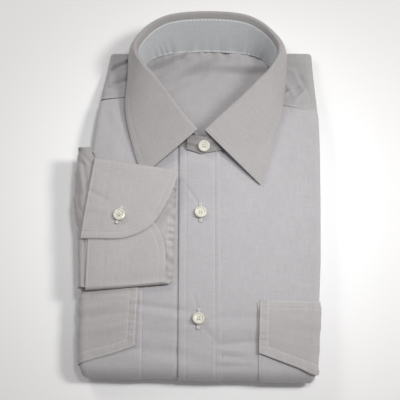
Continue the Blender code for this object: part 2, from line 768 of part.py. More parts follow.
def make_yoke():
    """One hood of cloth: both shoulders, the back neck and the floor inside the collar."""
    flat_rows = [*FLOOR_ROWS, None, 110, 118, 126, 134, 142, 150, 157]
    turns = [12, 28, 45, 62, 76, 86]
    seam_row = flat_rows.index(None)
    back_row = len(flat_rows) + 1
    rolls = [math.pi * k / 8 for k in range(1, 8)]
    inside = (0.0, 0.35, 0.7, 1.0)
    outside = (0.3, 0.65, 1.0)

    def neck_x(side, y, turn):
        if turn is None:
            return ring_x(side, max(y, 47.0))
        return 7.5 + side * (51 - 8 * min(1.0, turn / 28))

    def half_row(side, row, inset):
        if row < len(flat_rows):
            y = flat_rows[row]
            turn = None
        else:
            y, turn = SHOULDER_Y, turns[row - len(flat_rows)]
        place = y if y is not None else yoke_seam_y(side * 60)
        radius = side_radius(-place)
        edge = side * (half_width(side, -place) - radius)
        near = neck_x(side, place, turn)
        if row <= seam_row:
            near -= side * 1.2
        xs = [7.5 * ease(60, 150, place) + (near - 7.5 * ease(60, 150, place)) * f for f in inside]
        xs += [near + (edge - near) * f for f in outside]
        tops, bottoms = [], []
        for x in xs:
            spot = y
            if y is None:
                spot = yoke_seam_y(x) + SEAM_GAP
            if turn is None:
                high = front_height(x, spot) - inset
                low = bottom_height(spot) + inset
            else:
                bulge = 5.0 * max(0.0, 1 - ((x - 7.5) / 60.0) ** 2)
                angle = math.radians(turn)
                spot = SHOULDER_Y + bulge + (SHOULDER_R - inset) * math.sin(angle)
                middle = SHOULDER_TOP - SHOULDER_R
                high = middle + (SHOULDER_R - inset) * math.cos(angle)
                low = middle - (SHOULDER_R - inset) * math.cos(angle)
            low += floor_fold(x, spot) * (1 - ease(40, 58, abs(x - 7.5))) * (1 if turn is None else 0)
            tops.append((x, spot, high))
            bottoms.append((x, spot, low))
        top_edge, low_edge = tops[-1], bottoms[-1]
        middle = (top_edge[2] + low_edge[2]) / 2
        half = (top_edge[2] - low_edge[2]) / 2
        reach = radius - inset
        if turn is not None:
            reach = (radius - inset) * math.cos(math.radians(turn)) ** 0.5
        roll = [(edge + side * reach * math.sin(a), top_edge[1], middle + half * math.cos(a)) for a in rolls]
        return tops, roll, bottoms

    def full_row(row, inset):
        left_top, left_roll, left_low = half_row(-1, row, inset)
        right_top, right_roll, right_low = half_row(1, row, inset)
        ring = left_top[:0:-1] + [left_top[0]] + right_top[1:] + right_roll
        ring += right_low[:0:-1] + [left_low[0]] + left_low[1:] + left_roll[::-1]
        return ring

    rows = len(flat_rows) + len(turns)
    outer = [full_row(r, 0.0) for r in range(rows)]
    inner = [full_row(r, CLOTH) for r in range(rows)]
    flat = len(inside) + len(outside) - 1
    top_last = 2 * flat
    low_first = top_last + len(rolls) + 1
    low_last = low_first + 2 * flat

    def keep(i, j):
        on_top = j < top_last
        on_floor = low_first <= j < low_last
        if on_top:
            in_neck = len(outside) <= j < top_last - len(outside)
            return i >= (back_row if in_neck else seam_row)
        if on_floor:
            in_bay = len(outside) <= j - low_first < 2 * flat - len(outside)
            return in_bay or i > seam_row
        return i >= seam_row

    return wall("yoke", outer, inner, BODY_CLOTH, keep, closed=True)


BUTTON_R = 5.7
BUTTON_H = 2.6
BUTTON_SIDES = 16


def make_button_mesh():
    """A turned button with a raised rim and four thread holes."""
    profile = [(0.0, 0.0), (4.4, 0.0), (5.4, 0.7), (BUTTON_R, 1.5), (5.2, 2.4), (4.4, BUTTON_H),
               (3.6, 2.0), (0.0, 1.8)]
    points, faces, rings = [], [], []
    for radius, height in profile:
        if radius == 0:
            rings.append([len(points)])
            points.append((0.0, 0.0, height))
            continue
        rings.append(list(range(len(points), len(points) + BUTTON_SIDES)))
        for k in range(BUTTON_SIDES):
            angle = 2 * math.pi * k / BUTTON_SIDES
            points.append((radius * math.cos(angle), radius * math.sin(angle), height))
    for low, high in zip(rings, rings[1:]):
        for k in range(BUTTON_SIDES):
            n = (k + 1) % BUTTON_SIDES
            if len(low) == 1:
                faces.append((low[0], high[n], high[k]))
            elif len(high) == 1:
                faces.append((low[k], low[n], high[0]))
            else:
                faces.append((low[k], low[n], high[n], high[k]))
    blank = tidy_mesh("button_blank", points, faces, BUTTON)
    drill = bmesh.new()
    for k in range(4):
        angle = math.pi / 4 + k * math.pi / 2
        place = Matrix.Translation((1.5 * MM * math.cos(angle), 1.5 * MM * math.sin(angle), MM))
        bmesh.ops.create_cone(drill, cap_ends=True, segments=6, radius1=0.6 * MM, radius2=0.6 * MM,
                              depth=6 * MM, matrix=place)
    holes = bpy.data.meshes.new("button_holes")
    drill.to_mesh(holes)
    drill.free()
    cutter = bpy.data.objects.new("button_holes", holes)
    bpy.context.scene.collection.objects.link(cutter)
    cut = blank.modifiers.new("holes", "BOOLEAN")
    cut.operation = "DIFFERENCE"
    cut.solver = "EXACT"
    cut.object = cutter
    ready = bpy.context.evaluated_depsgraph_get()
    mesh = bpy.data.meshes.new_from_object(blank.evaluated_get(ready))
    mesh.name = "button"
    bpy.data.objects.remove(blank)
    bpy.data.objects.remove(cutter)
    return mesh


def make_buttons():
    mesh = make_button_mesh()
    lift = SEAM_GAP + CLOTH + SEAM_GAP
    spots = []
    for name, x, y in (("button_chest", 0.5, -14.7), ("button_lower", -1.4, -117.1)):
        spots.append((name, Vector((x, y, front_height(x, y) + lift + 0.15)), Vector((0, 0, 1))))
    neck, seam = collar_frame(LAST_ROW)[0], leaf_profile(LAST_ROW)[0]
    up = (seam - neck).normalized()
    normal = Vector((1, 0, 0)).cross(up)
    centre = neck + up * 7.5 + Vector((1.0, 0, 0)) + normal * (0.8 + SEAM_GAP)
    spots.append(("button_collar", centre, normal))
    x, y = -75.7, -19.7
    top = 3 * CUFF_WALL + read(CUFF_SPACE, "room", x + 105.4, "from_seam") + 2 * SEAM_GAP
    tilt = Vector((-CUFF_FLOOR[1], -CUFF_FLOOR[2], 1))
    spots.append(("button_cuff", Vector((x, y, cuff_floor(x, y) + top + 0.25)), tilt))
    for name, centre, normal in spots:
        button = bpy.data.objects.new(name, mesh)
        bpy.context.scene.collection.objects.link(button)
        button.location = centre * MM
        button.rotation_mode = "QUATERNION"
        button.rotation_quaternion = normal.to_track_quat("Z", "Y")


def centre_on_table():
    """Put the origin below the middle of the shirt, at table height."""
    bpy.context.view_layer.update()
    solids = [o for o in bpy.context.scene.objects if not o.hide_render]
    corners = [o.matrix_world @ Vector(c) for o in solids for c in o.bound_box]
    low = Vector([min(c[k] for c in corners) for k in range(3)])
    high = Vector([max(c[k] for c in corners) for k in range(3)])
    middle = (low + high) / 2
    for piece in bpy.context.scene.objects:
        piece.location -= Vector((middle.x, middle.y, low.z))
    print("size in mm", [round(v / MM, 1) for v in high - low])
    print("middle in mm", [round(v / MM, 2) for v in middle])


make_core()
make_fronts()
make_placket()
for pocket_side in (-1, 1):
    make_pocket(pocket_side)
make_yoke()
make_stand()
make_leaf()
make_cuff()
make_sleeve()
make_buttons()
centre_on_table()
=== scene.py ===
# %% [markdown]
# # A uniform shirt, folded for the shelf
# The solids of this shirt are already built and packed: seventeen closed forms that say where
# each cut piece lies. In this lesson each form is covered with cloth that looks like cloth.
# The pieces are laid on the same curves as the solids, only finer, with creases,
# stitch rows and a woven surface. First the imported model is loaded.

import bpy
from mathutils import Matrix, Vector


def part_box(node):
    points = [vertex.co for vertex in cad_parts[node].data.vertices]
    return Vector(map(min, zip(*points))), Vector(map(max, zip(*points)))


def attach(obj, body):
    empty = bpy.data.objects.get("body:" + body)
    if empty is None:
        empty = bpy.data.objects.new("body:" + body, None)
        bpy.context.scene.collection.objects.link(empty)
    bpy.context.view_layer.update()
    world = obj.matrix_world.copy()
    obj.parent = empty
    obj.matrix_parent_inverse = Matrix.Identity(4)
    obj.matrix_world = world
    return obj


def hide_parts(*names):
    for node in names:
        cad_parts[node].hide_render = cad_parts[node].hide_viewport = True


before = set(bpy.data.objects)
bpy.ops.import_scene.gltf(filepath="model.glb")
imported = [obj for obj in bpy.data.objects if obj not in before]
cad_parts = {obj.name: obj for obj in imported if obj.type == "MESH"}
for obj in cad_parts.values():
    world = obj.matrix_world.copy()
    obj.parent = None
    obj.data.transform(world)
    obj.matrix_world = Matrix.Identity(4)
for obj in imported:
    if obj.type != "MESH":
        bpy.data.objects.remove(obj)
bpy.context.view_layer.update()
print("solids:", len(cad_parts))

# %% [markdown]
# ## Millimetres on the table
# A tailor thinks in millimetres from the button line, so the tables below do too: X runs across
# the shirt from the front edge's button line, Y runs towards the collar and Z up from the table.
# One known point, the middle of the chest button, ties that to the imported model's metres.

# %% From the tailor's millimetres to the model's metres
import math

import bpy
import numpy as np
from mathutils import Vector

MM = 0.001
CHEST_BUTTON = (0.5, -14.7)
low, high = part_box("button_chest")
middle_x, middle_y = (low.x + high.x) / 2 / MM, (low.y + high.y) / 2 / MM
SHIFT = np.array([middle_x - CHEST_BUTTON[0], middle_y - CHEST_BUTTON[1], 0.0])
print("shift in mm:", SHIFT.round(2))


def columns(names, rows):
    """Turn rows of numbers into one array for each named column."""
    return {name: np.array([row[k] for row in rows], float) for k, name in enumerate(names.split())}


def read(table, name, at, key):
    return float(np.interp(at, table[key], table[name]))


def ease(low, high, value):
    """Smooth step from 0 at low to 1 at high, for a number or an array."""
    t = np.clip((value - low) / (high - low), 0.0, 1.0)
    return t * t * (3 - 2 * t)


# %% [markdown]
# ## The folded form
# A folded shirt is one long strip of front, turned over itself at the bottom and rolled in at
# both sides. It could be simulated from a flat cut, or pushed into shape point by point. Here it
# is a formula, because every later piece can then ask where the cloth is. A point is named by
# two lengths measured along the cloth: p across the shirt and q down its length. `cloth` turns
# those into a place in space. Pockets, flaps and the placket use it too, so they follow the front.

# %% Sizes of the folded strip
CLOTH = 1.0
SEAM_GAP = 0.3
LAYER = CLOTH + SEAM_GAP
FOLD_Y = -160.0        # where the bottom fold begins
FOLD_R = 10.0          # radius of the bottom fold
SIDE_R = 4.3           # radius of the side folds on the upper strip
TAIL_R = 3.4           # and on the strip below
SHOULDER_R = 4.8
SHOULDER_Y = 158.8     # where the shoulders begin to roll over
SHOULDER_TOP = 9.9
TURN_Q = -FOLD_Y
UNDER_Q = TURN_Q + math.pi * FOLD_R
TAIL_HEM_Y = 106.0
EDGE_X = -19.7         # free edge of the wearer's left front
PLACKET_W = 39.8
CORNER_PULL = 2.2      # how far the corners of the bottom fold round in
ROLL_FROM = 80         # across lines: flat up to here,
ROLL_TO = 100          # then stretched to the side edge, and round it from here
ROLL_SPAN = 16

BODY = columns("y right_side left_side crown", [
    (-160, 108.3, 104.6, 1.2),
    (-140, 109.6, 106.5, 2.6),
    (-96, 109.8, 110.8, 4.0),
    (-60, 108.5, 113.5, 4.0),
    (0, 107.5, 115.7, 4.0),
    (55, 105.3, 117.2, 4.0),
    (85, 102.3, 117.2, 3.0),
    (108, 99.6, 116.4, 1.6),
    (125, 97.3, 115.6, 0.6),
    (157, 91.5, 113.9, 0.0),
])


def half_width(side, q):
    """Distance from the centre line to the side edge, along the folded cloth."""
    column = "left_side" if side > 0 else "right_side"
    if q <= TURN_Q:
        return read(BODY, column, -q, "y")
    start = read(BODY, column, FOLD_Y, "y")
    if q < UNDER_Q:
        return start - CORNER_PULL * (1 - math.cos(min((q - TURN_Q) / FOLD_R, math.pi / 2)))
    y = FOLD_Y + q - UNDER_Q
    wide = read(BODY, column, min(y, TAIL_HEM_Y), "y") - 3.0
    return start - CORNER_PULL + ease(FOLD_Y, FOLD_Y + 40, y) * (wide - start + CORNER_PULL)


def base_height(y):
    return 2 * FOLD_R - (2 * FOLD_R - SHOULDER_TOP) * ease(70, 150, y)


def side_radius(q):
    if q <= TURN_Q:
        return SIDE_R + (SHOULDER_R - SIDE_R) * ease(100, 145, -q)
    return SIDE_R + (TAIL_R - SIDE_R) * min((q - TURN_Q) / FOLD_R, math.pi) / math.pi


def crown(x, q):
    """Rise of the fronts over the layers inside, highest below the collar."""
    across = max(0.0, 1 - (x / 100.0) ** 2)
    if q <= TURN_Q:
        y = -q
        neck = 4.5 * math.exp(-(x / 45.0) ** 2 - ((y - 45) / 38.0) ** 2)
        sag = 0.5 * math.exp(-((y + 120) / 11.0) ** 2) - 0.5 * math.exp(-((y + 139) / 11.0) ** 2)
        return across * (read(BODY, "crown", y, "y") + sag) + neck
    return across * BODY["crown"][0] * math.cos(min((q - TURN_Q) / FOLD_R, math.pi) / 2) ** 2


def front_height(x, y):
    return base_height(y) + crown(x, -y)


def bottom_height(y):
    """Underside of the upper strip, which is also the floor inside the neck."""
    return base_height(y) - 2 * side_radius(-y)


def cloth(p, q, lift=0.0):
    """Point of the folded front at cross line p and length q, lifted off the cloth."""
    side = 1 if p >= 0 else -1
    size = abs(p)
    radius = side_radius(q)
    flat_end = half_width(side, q) - radius
    angle, drop, x = 0.0, 0.0, p
    if size > ROLL_TO:
        turn = (size - ROLL_TO) / ROLL_SPAN * math.pi
        x = side * (flat_end + radius * math.sin(turn))
        drop, angle = radius * (1 - math.cos(turn)), side * turn
    elif size > ROLL_FROM:
        x = side * (ROLL_FROM + (size - ROLL_FROM) / (ROLL_TO - ROLL_FROM) * (flat_end - ROLL_FROM))
    if q <= TURN_Q:
        y, z, normal_y, normal_z = -q, base_height(-q), 0.0, 1.0
    elif q < UNDER_Q:
        turn = (q - TURN_Q) / FOLD_R
        y, z = FOLD_Y - FOLD_R * math.sin(turn), FOLD_R + FOLD_R * math.cos(turn)
        normal_y, normal_z = -math.sin(turn), math.cos(turn)
    else:
        y, z, normal_y, normal_z = FOLD_Y + q - UNDER_Q, 0.0, 0.0, -1.0
    out = crown(x, q) * (1 if size <= ROLL_TO else 0) - drop + lift * math.cos(angle)
    y += normal_y * out - 0.023 * x * ease(60, TURN_Q, q)
    return (x + lift * math.sin(angle), y, z + normal_z * out)


print("front panel runs", round(UNDER_Q + 100 - FOLD_Y), "mm round the bundle")

# %% [markdown]
# ## The neckline and the collar
# The collar is described by ten stations on each side, from the back of the neck to the front
# button. Each station gives three points: where the band is sewn to the shirt, where the collar
# folds over, and where the leaf ends. A bevelled curve could carry a collar too, but its section
# changes all the way round, so stations are easier to fit. A smooth curve is drawn through them,
# and `lean` turns the collar a little, because it sits slightly to one side on the real shirt.

# %% Collar stations
COLLAR = columns("at neck_x neck_y fold_x fold_y fold_z edge_x edge_y edge_z", [
    (0, 0, 163.8, 0, 196.0, 35.5, 0, 201.8, 1.0),
    (1, 27, 162.5, 34, 192.9, 36.0, 39, 198.4, 1.2),
    (2, 43, 160.4, 54, 183.0, 37.0, 62, 188.9, 2.0),
    (3, 56, 155.0, 68, 166.8, 38.5, 77, 171.4, 5.0),
    (4, 63, 147.0, 72.5, 152.0, 39.5, 79, 146.0, 15.0),
    (5, 68, 133.0, 63, 134.0, 40.5, 78, 115.0, 20.2),
    (6, 66, 115.0, 50, 119.5, 41.0, 76.5, 92.0, 23.6),
    (7, 47, 85.0, 34, 100.0, 41.0, 71.5, 69.0, 25.0),
    (8, 27, 54.0, 17, 80.5, 40.5, 64.5, 43.0, 24.9),
    (9, 0.4, 43.5, 3.0, 65.0, 39.0, 57.0, 17.8, 25.0),
])
LAST_ROW = 9
LEAF_WALL = 1.4
BAND = 1.8
FOLD_SEAM = 4.0
FOLD_ROLL = 1.8


def neck_point(at, column):
    """A smooth curve through the collar rows, for one half."""
    k = min(int(at), LAST_ROW - 1)
    values = COLLAR[column]
    before = values[k - 1] if k > 0 else (-values[1] if column.endswith("_x") else values[1])
    after = values[k + 2] if k + 2 <= LAST_ROW else 2 * values[k + 1] - values[k]
    t = at - k
    h = t * t * (3 - 2 * t)
    m0, m1 = (values[k + 1] - before) / 2, (after - values[k]) / 2
    return values[k] * (1 - h) + values[k + 1] * h + m0 * t * (1 - t) ** 2 + m1 * t * t * (t - 1)


def lean(x, y):
    return x + 1.0 + 6.5 * ease(60, 150, y), y - 0.075 * (1 - ease(100, 165, y)) * x


def neck_curve(at):
    side = 1 if at >= 0 else -1
    return lean(side * neck_point(abs(at), "neck_x"), neck_point(abs(at), "neck_y"))


NECK_PATH = [neck_curve(k / 4) for k in range(-36, 37)]
FRONT_NECK = sorted(p for k, p in enumerate(NECK_PATH) if abs(k - 36) >= 24)
SIDE_NECK = {side: [neck_curve(side * k / 4) for k in range(37)] for side in (-1, 1)}


def yoke_seam_y(x):
    """Front seam of the yoke, which climbs towards the neck on both sides."""
    near = 97 - np.clip(np.abs(x), 60, 110)
    share = ease(-40, 40, x)
    return 101.9 - 0.041 * x + (1 - share) * (2.4 + 0.138 * near) + share * (0.186 * near - 0.4)


def front_top_q(p):
    """Upper edge of a front at cross line p: neckline, then yoke seam."""
    if FRONT_NECK[0][0] < p < FRONT_NECK[-1][0]:
        neck = float(np.interp(p, [c[0] for c in FRONT_NECK], [c[1] for c in FRONT_NECK])) + 1.4
        return -min(neck, float(yoke_seam_y(p)))
    return -float(yoke_seam_y(p))


def ring_x(side, y):
    """Where the neckline ring stands at Y on one side."""
    hits = [x0 + (x1 - x0) * (y - y0) / (y1 - y0)
            for (x0, y0), (x1, y1) in zip(SIDE_NECK[side], SIDE_NECK[side][1:])
            if (y0 - y) * (y1 - y) <= 0 and y0 != y1]
    return hits[-1] if hits else 0.0


print("neck opening is", round(ring_x(1, 125) - ring_x(-1, 125)), "mm wide")

# %% [markdown]
# ## Creases, placed one by one
# A press and a shelf leave few creases in a shirt, and each one has a reason: cloth pulled
# towards a button, a fold held by a seam, slack pushed up where the collar stands. A simulation
# makes creases of its own choosing, so these are placed one by one instead. Each is one row below:
# where it starts and ends, how high it is (negative is a valley) and how wide.
# `relief` adds them up as soft ridges whose ends fade into the cloth. `sway` adds the slow
# unevenness that even flat cloth has, and `pucker` the small waves that a stitch row pulls in.

# %% Crease tables: x0, y0, x1, y1, height, width in millimetres
FRONT_CREASES = [
    (20.0, -139.9, 45.4, -137.0, -0.85, 2.8), (19.0, -150.0, 34.3, -151.9, -0.4, 2.4),
    (18.9, -160.4, 40.8, -158.0, -0.45, 2.4), (19.9, -144.8, 41.1, -146.6, 0.4, 2.8),
    (19.8, -155.7, 45.1, -156.4, 0.5, 2.5), (20.1, -115.8, 56.8, -113.9, -0.45, 4.0),
    (24.0, -127.0, 60.0, -124.0, 0.35, 5.0), (-54.2, -104.5, -20.2, -108.8, -0.85, 3.0),
    (-53.2, -111.1, -20.1, -115.8, 0.5, 4.0), (-52.7, -129.2, -20.0, -131.0, -0.3, 4.0),
    (-51.6, -146.3, -21.7, -148.2, -0.7, 5.0), (-49.6, -156.4, -19.8, -158.2, 0.5, 4.0),
    (86.0, -40.0, 109.0, -62.0, 0.3, 7.0), (92.0, 20.0, 112.0, -14.0, -0.3, 8.0),
    (30.0, -30.0, 84.0, -8.0, 0.25, 12.0), (40.0, -80.0, 96.0, -70.0, -0.25, 10.0),
    (-92.0, 86.0, -76.0, 56.0, -0.35, 5.0), (-86.0, 92.0, -82.0, 60.0, 0.35, 5.0),
    (-40.0, 14.0, -24.0, -60.0, -0.25, 5.0), (88.0, 60.0, 104.0, 92.0, 0.35, 6.0),
    (96.0, 70.0, 110.0, 96.0, -0.35, 4.0), (78.0, 20.0, 84.0, 62.0, -0.3, 5.0),
]
PLACKET_CREASES = [
    (-11.0, 9.0, -3.0, -3.5, -0.32, 1.6), (-5.1, -97.6, -2.5, -107.8, -0.32, 1.3),
    (-10.9, -121.1, -4.6, -119.2, -0.45, 2.5), (3.6, -121.1, 13.7, -116.4, -0.4, 2.0),
    (4.5, -126.6, 10.7, -133.6, -0.28, 2.2), (-9.0, -112.0, -3.0, -108.0, -0.25, 1.6),
    (4.0, -112.0, 10.0, -106.0, 0.25, 2.0), (-14.0, 36.0, 12.0, 32.0, 0.3, 5.0),
    (-12.0, -60.0, 10.0, -68.0, -0.2, 6.0), (-14.0, -146.0, 16.0, -150.0, 0.3, 5.0),
]
SHOULDER_CREASES = [
    (-96.0, 140.0, -70.6, 153.9, -1.3, 2.0), (-99.4, 121.0, -72.1, 131.6, -1.2, 2.0),
    (-94.7, 132.3, -73.3, 139.3, 0.9, 4.0), (-96.2, 115.3, -72.8, 117.5, 0.6, 2.0),
    (-99.9, 126.8, -89.9, 122.7, -0.6, 1.6), (-92.0, 147.0, -70.0, 156.0, 0.6, 2.5),
    (88.9, 143.8, 107.3, 133.7, 0.6, 2.6), (85.5, 119.9, 96.3, 122.7, -1.2, 1.5),
    (96.7, 135.6, 105.1, 117.8, 0.65, 2.4), (95.7, 107.0, 103.2, 116.9, 0.9, 1.5),
    (85.4, 114.9, 91.8, 120.4, 1.0, 1.5), (84.1, 131.3, 91.7, 116.0, 1.0, 1.8),
    (86.6, 149.4, 112.7, 144.9, -0.5, 2.0), (100.2, 133.7, 111.3, 107.2, -0.9, 2.4),
    (90.0, 106.0, 95.0, 110.0, 0.4, 1.2), (104.0, 104.0, 110.0, 110.0, 0.4, 1.3),
]
FLOOR_CREASES = [
    (-50.1, 145.1, -18.3, 158.4, -2.0, 1.9), (-40.7, 153.9, -15.3, 161.3, 1.3, 4.0),
    (-26.2, 127.2, 11.8, 152.7, -1.6, 6.0), (-32.3, 138.0, 0.0, 150.9, 1.1, 5.0),
    (36.5, 141.7, 66.2, 140.7, -0.7, 4.0), (22.4, 149.0, 62.9, 147.8, 0.8, 4.0),
    (0.0, 139.7, 9.1, 149.7, -0.8, 3.0), (-15.0, 111.0, 25.1, 117.5, 0.6, 7.0),
    (-30.0, 108.0, 20.0, 102.0, -0.5, 7.0), (10.0, 128.0, 50.0, 122.0, 0.5, 7.0),
]


def relief(rows, x, y, gain=1.7):
    """Height of the creases in rows at the points x, y of the cloth."""
    total = np.zeros_like(x)
    for x0, y0, x1, y1, tall, wide in rows:
        length = math.hypot(x1 - x0, y1 - y0)
        along = ((x - x0) * (x1 - x0) + (y - y0) * (y1 - y0)) / length
        off = ((y - y0) * (x1 - x0) - (x - x0) * (y1 - y0)) / length
        over = np.maximum(0.0, np.maximum(-along, along - length))
        total += tall * np.exp(-(off / wide) ** 2 - (over / (0.2 * length + wide)) ** 2)
    return gain * total


def sway(x, y, tall=0.22):
    """Slow unevenness of cloth that looks flat."""
    across = np.sin(x / 21.0 + 1.4 * np.sin(y / 37.0))
    down = np.sin(y / 29.0 + 1.1 * np.sin(x / 25.0 + 2.0))
    return tall * (across * 0.6 + down * 0.4)


def pucker(run, off, tall=0.16, reach=4.0):
    """Small uneven waves along a stitch row; off is the distance from the row."""
    short = np.sin(run / 1.15 + 1.7 * np.sin(run / 6.1))
    long = np.sin(run / 2.3 + 2.1 * np.sin(run / 11.0))
    return tall * (short * 0.6 + long * 0.4) * np.exp(-(off / reach) ** 2)


def groove(distance, inset, tall=0.22, wide=0.7):
    """Valley that a stitch row presses in at a set distance from an edge."""
    return -tall * np.exp(-((distance - inset) / wide) ** 2)


def soft_edge(distance, reach=1.6, drop=0.45):
    """How much a cut edge rounds down towards what it lies on."""
    return -drop * np.clip(1 - distance / reach, 0.0, 1.0) ** 2


ALL_CREASES = FRONT_CREASES + PLACKET_CREASES + SHOULDER_CREASES + FLOOR_CREASES
print("hand-placed creases:", len(ALL_CREASES))

# %% [markdown]
# ## From grids to cloth
# Real cloth has two faces and a cut edge. A Solidify modifier could thicken a single sheet, but
# here the back is a grid of its own, so that it can stay flat under a crease. Each cut piece
# becomes a thin closed shell: one grid for its face, one for its back, and a rim round every
# free edge. Three numbers are stored on each point for the materials:
# where it lies on the flat cloth in centimetres (for the weave), how far it is from the nearest
# stitched edge, and how far along that edge it is (for the stitches).

# %% Shell builder
def shell(name, outer, inner, weave, look, keep=None, closed=False, edge=None, run=None):
    """A thin closed piece of cloth between two grids of points in millimetres."""
    rows, cols = outer.shape[:2]
    shift = rows * cols
    faces, edges = [], {}
    for i in range(rows - 1):
        for j in range(cols if closed else cols - 1):
            if keep is not None and not keep(i, j):
                continue
            n = (j + 1) % cols
            a, b, c, d = i * cols + j, i * cols + n, (i + 1) * cols + n, (i + 1) * cols + j
            faces.append((a, b, c, d))
            faces.append((a + shift, d + shift, c + shift, b + shift))
            for pair in ((a, b), (b, c), (c, d), (d, a)):
                if edges.pop((pair[1], pair[0]), None) is None:
                    edges[pair] = True
    faces += [(b, a, a + shift, b + shift) for a, b in edges]
    points = (np.concatenate([outer.reshape(-1, 3), inner.reshape(-1, 3)]) + SHIFT) * MM
    used = np.unique(np.concatenate([np.array(face) for face in faces]))
    renumber = np.full(len(points), -1)
    renumber[used] = np.arange(len(used))
    mesh = bpy.data.meshes.new(name)
    mesh.from_pydata(points[used].tolist(), [], [tuple(int(renumber[k]) for k in face) for face in faces])
    a, b, c = (points[faces[0][k]] for k in range(3))
    want = (outer - inner)[np.unravel_index(faces[0][0], (rows, cols))]
    if np.dot(np.cross(b - a, c - a), want) < 0:
        mesh.flip_normals()
    flat = np.concatenate([weave.reshape(-1, 2)] * 2)[used] / 10.0
    corner = np.zeros(len(mesh.loops), int)
    mesh.loops.foreach_get("vertex_index", corner)
    layer = mesh.uv_layers.new(name="cloth")
    layer.data.foreach_set("uv", flat[corner].ravel())
    for label, values in (("edge", edge), ("run", run)):
        if values is not None:
            mark = mesh.attributes.new(label, "FLOAT", "POINT")
            mark.data.foreach_set("value", np.concatenate([values.ravel()] * 2)[used].astype(float))
    mesh.shade_smooth()
    mesh.set_sharp_from_angle(angle=math.radians(50))
    mesh.materials.append(look)
    piece = bpy.data.objects.new(name, mesh)
    bpy.context.scene.collection.objects.link(piece)
    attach(piece, "root")
    area = sum(p.area for p in mesh.polygons) / 2 * 1e4
    print(name, len(mesh.polygons), "faces,", round(area), "cm2 of cloth")
    return piece


def grid_normals(points):
    """Unit normals of a grid of points, from its neighbours."""
    down = np.gradient(points, axis=0)
    along = np.gradient(points, axis=1)
    normal = np.cross(down, along)
    return normal / np.maximum(np.linalg.norm(normal, axis=2, keepdims=True), 1e-9)


def from_edges(points, outline):
    """Distance of each grid point from an outline, and how far along the outline it is."""
    path = np.array(outline)
    travelled = np.concatenate([[0], np.cumsum(np.linalg.norm(np.diff(path, axis=0), axis=1))])
    flat = points.reshape(-1, 3)
    best = np.full(len(flat), 1e9)
    run = np.zeros(len(flat))
    for k in range(len(path) - 1):
        step = path[k + 1] - path[k]
        t = np.clip(((flat - path[k]) @ step) / max(step @ step, 1e-9), 0, 1)
        gap = np.linalg.norm(flat - path[k] - t[:, None] * step, axis=1)
        nearer = gap < best
        best[nearer] = gap[nearer]
        run[nearer] = (travelled[k] + t * np.linalg.norm(step))[nearer]
    return best.reshape(points.shape[:2]), run.reshape(points.shape[:2])


def lay(lines, rows_of):
    """Grid of the folded front: points, outward normals, and p and y at each point."""
    base = np.array([[cloth(p, q) for q in rows_of(p)] for p in lines])
    tip = np.array([[cloth(p, q, 1.0) for q in rows_of(p)] for p in lines])
    across = np.array([[p for q in rows_of(p)] for p in lines])
    down = np.array([[-q for q in rows_of(p)] for p in lines])
    return base, tip - base, across, down


def front_relief(x, y):
    """Creases shared by the fronts and everything that lies on them."""
    calm = 1 - ease(96, 106, np.abs(x))
    return (relief(FRONT_CREASES, x, y) + sway(x, y)) * calm * ease(-176, -166, y)


# %% [markdown]
# ## What the cloth looks like
# The shirt is woven from fine yarn with a soft dry sheen. Its weave, its stitch rows and its
# sheen are built from nodes, so nothing is painted and every piece can have its own values.
# What several materials share becomes a node group. The shader itself stays in each material,
# where its sheen and roughness can be set to suit the piece. First come three small helpers.

# %% Helpers for nodes
def new_group(name, inputs, outputs):
    group = bpy.data.node_groups.new(name, "ShaderNodeTree")
    for label, kind, value in inputs:
        socket = group.interface.new_socket(label, in_out="INPUT", socket_type=kind)
        if value is not None:
            socket.default_value = value
    for label, kind in outputs:
        group.interface.new_socket(label, in_out="OUTPUT", socket_type=kind)
    return group, group.nodes.new("NodeGroupInput"), group.nodes.new("NodeGroupOutput")


def node(tree, kind, links=None, **settings):
    """Add a node, set its properties and sockets, and link what feeds it."""
    made = tree.nodes.new(kind)
    for key, value in settings.items():
        setattr(made, key, value)
    for key, value in (links or {}).items():
        if isinstance(value, bpy.types.NodeSocket):
            tree.links.new(value, made.inputs[key])
        else:
            made.inputs[key].default_value = value
    return made


def calc(tree, operation, a, b=0.0, c=0.0):
    return node(tree, "ShaderNodeMath", {0: a, 1: b, 2: c}, operation=operation).outputs[0]


def fade(tree, value, start, stop, low=0.0, high=1.0):
    """Smooth change from low to high while the value goes from start to stop."""
    return node(tree, "ShaderNodeMapRange", {0: value, 1: start, 2: stop, 3: low, 4: high},
                interpolation_type="SMOOTHSTEP").outputs[0]


NUMBER = "NodeSocketFloat"
print("node helpers: new_group, node, calc, fade")

# %% [markdown]
# ## The weave
# A grey warp is crossed by a paler weft, over one and under one, and the yarn is a little uneven,
# so close up the surface shows faint streaks both ways. A photograph of cloth could be tiled over
# it, but threads drawn from the flat-cloth coordinates stay sharp and never repeat. The group
# gives a height for the bump and a tint for the colour.

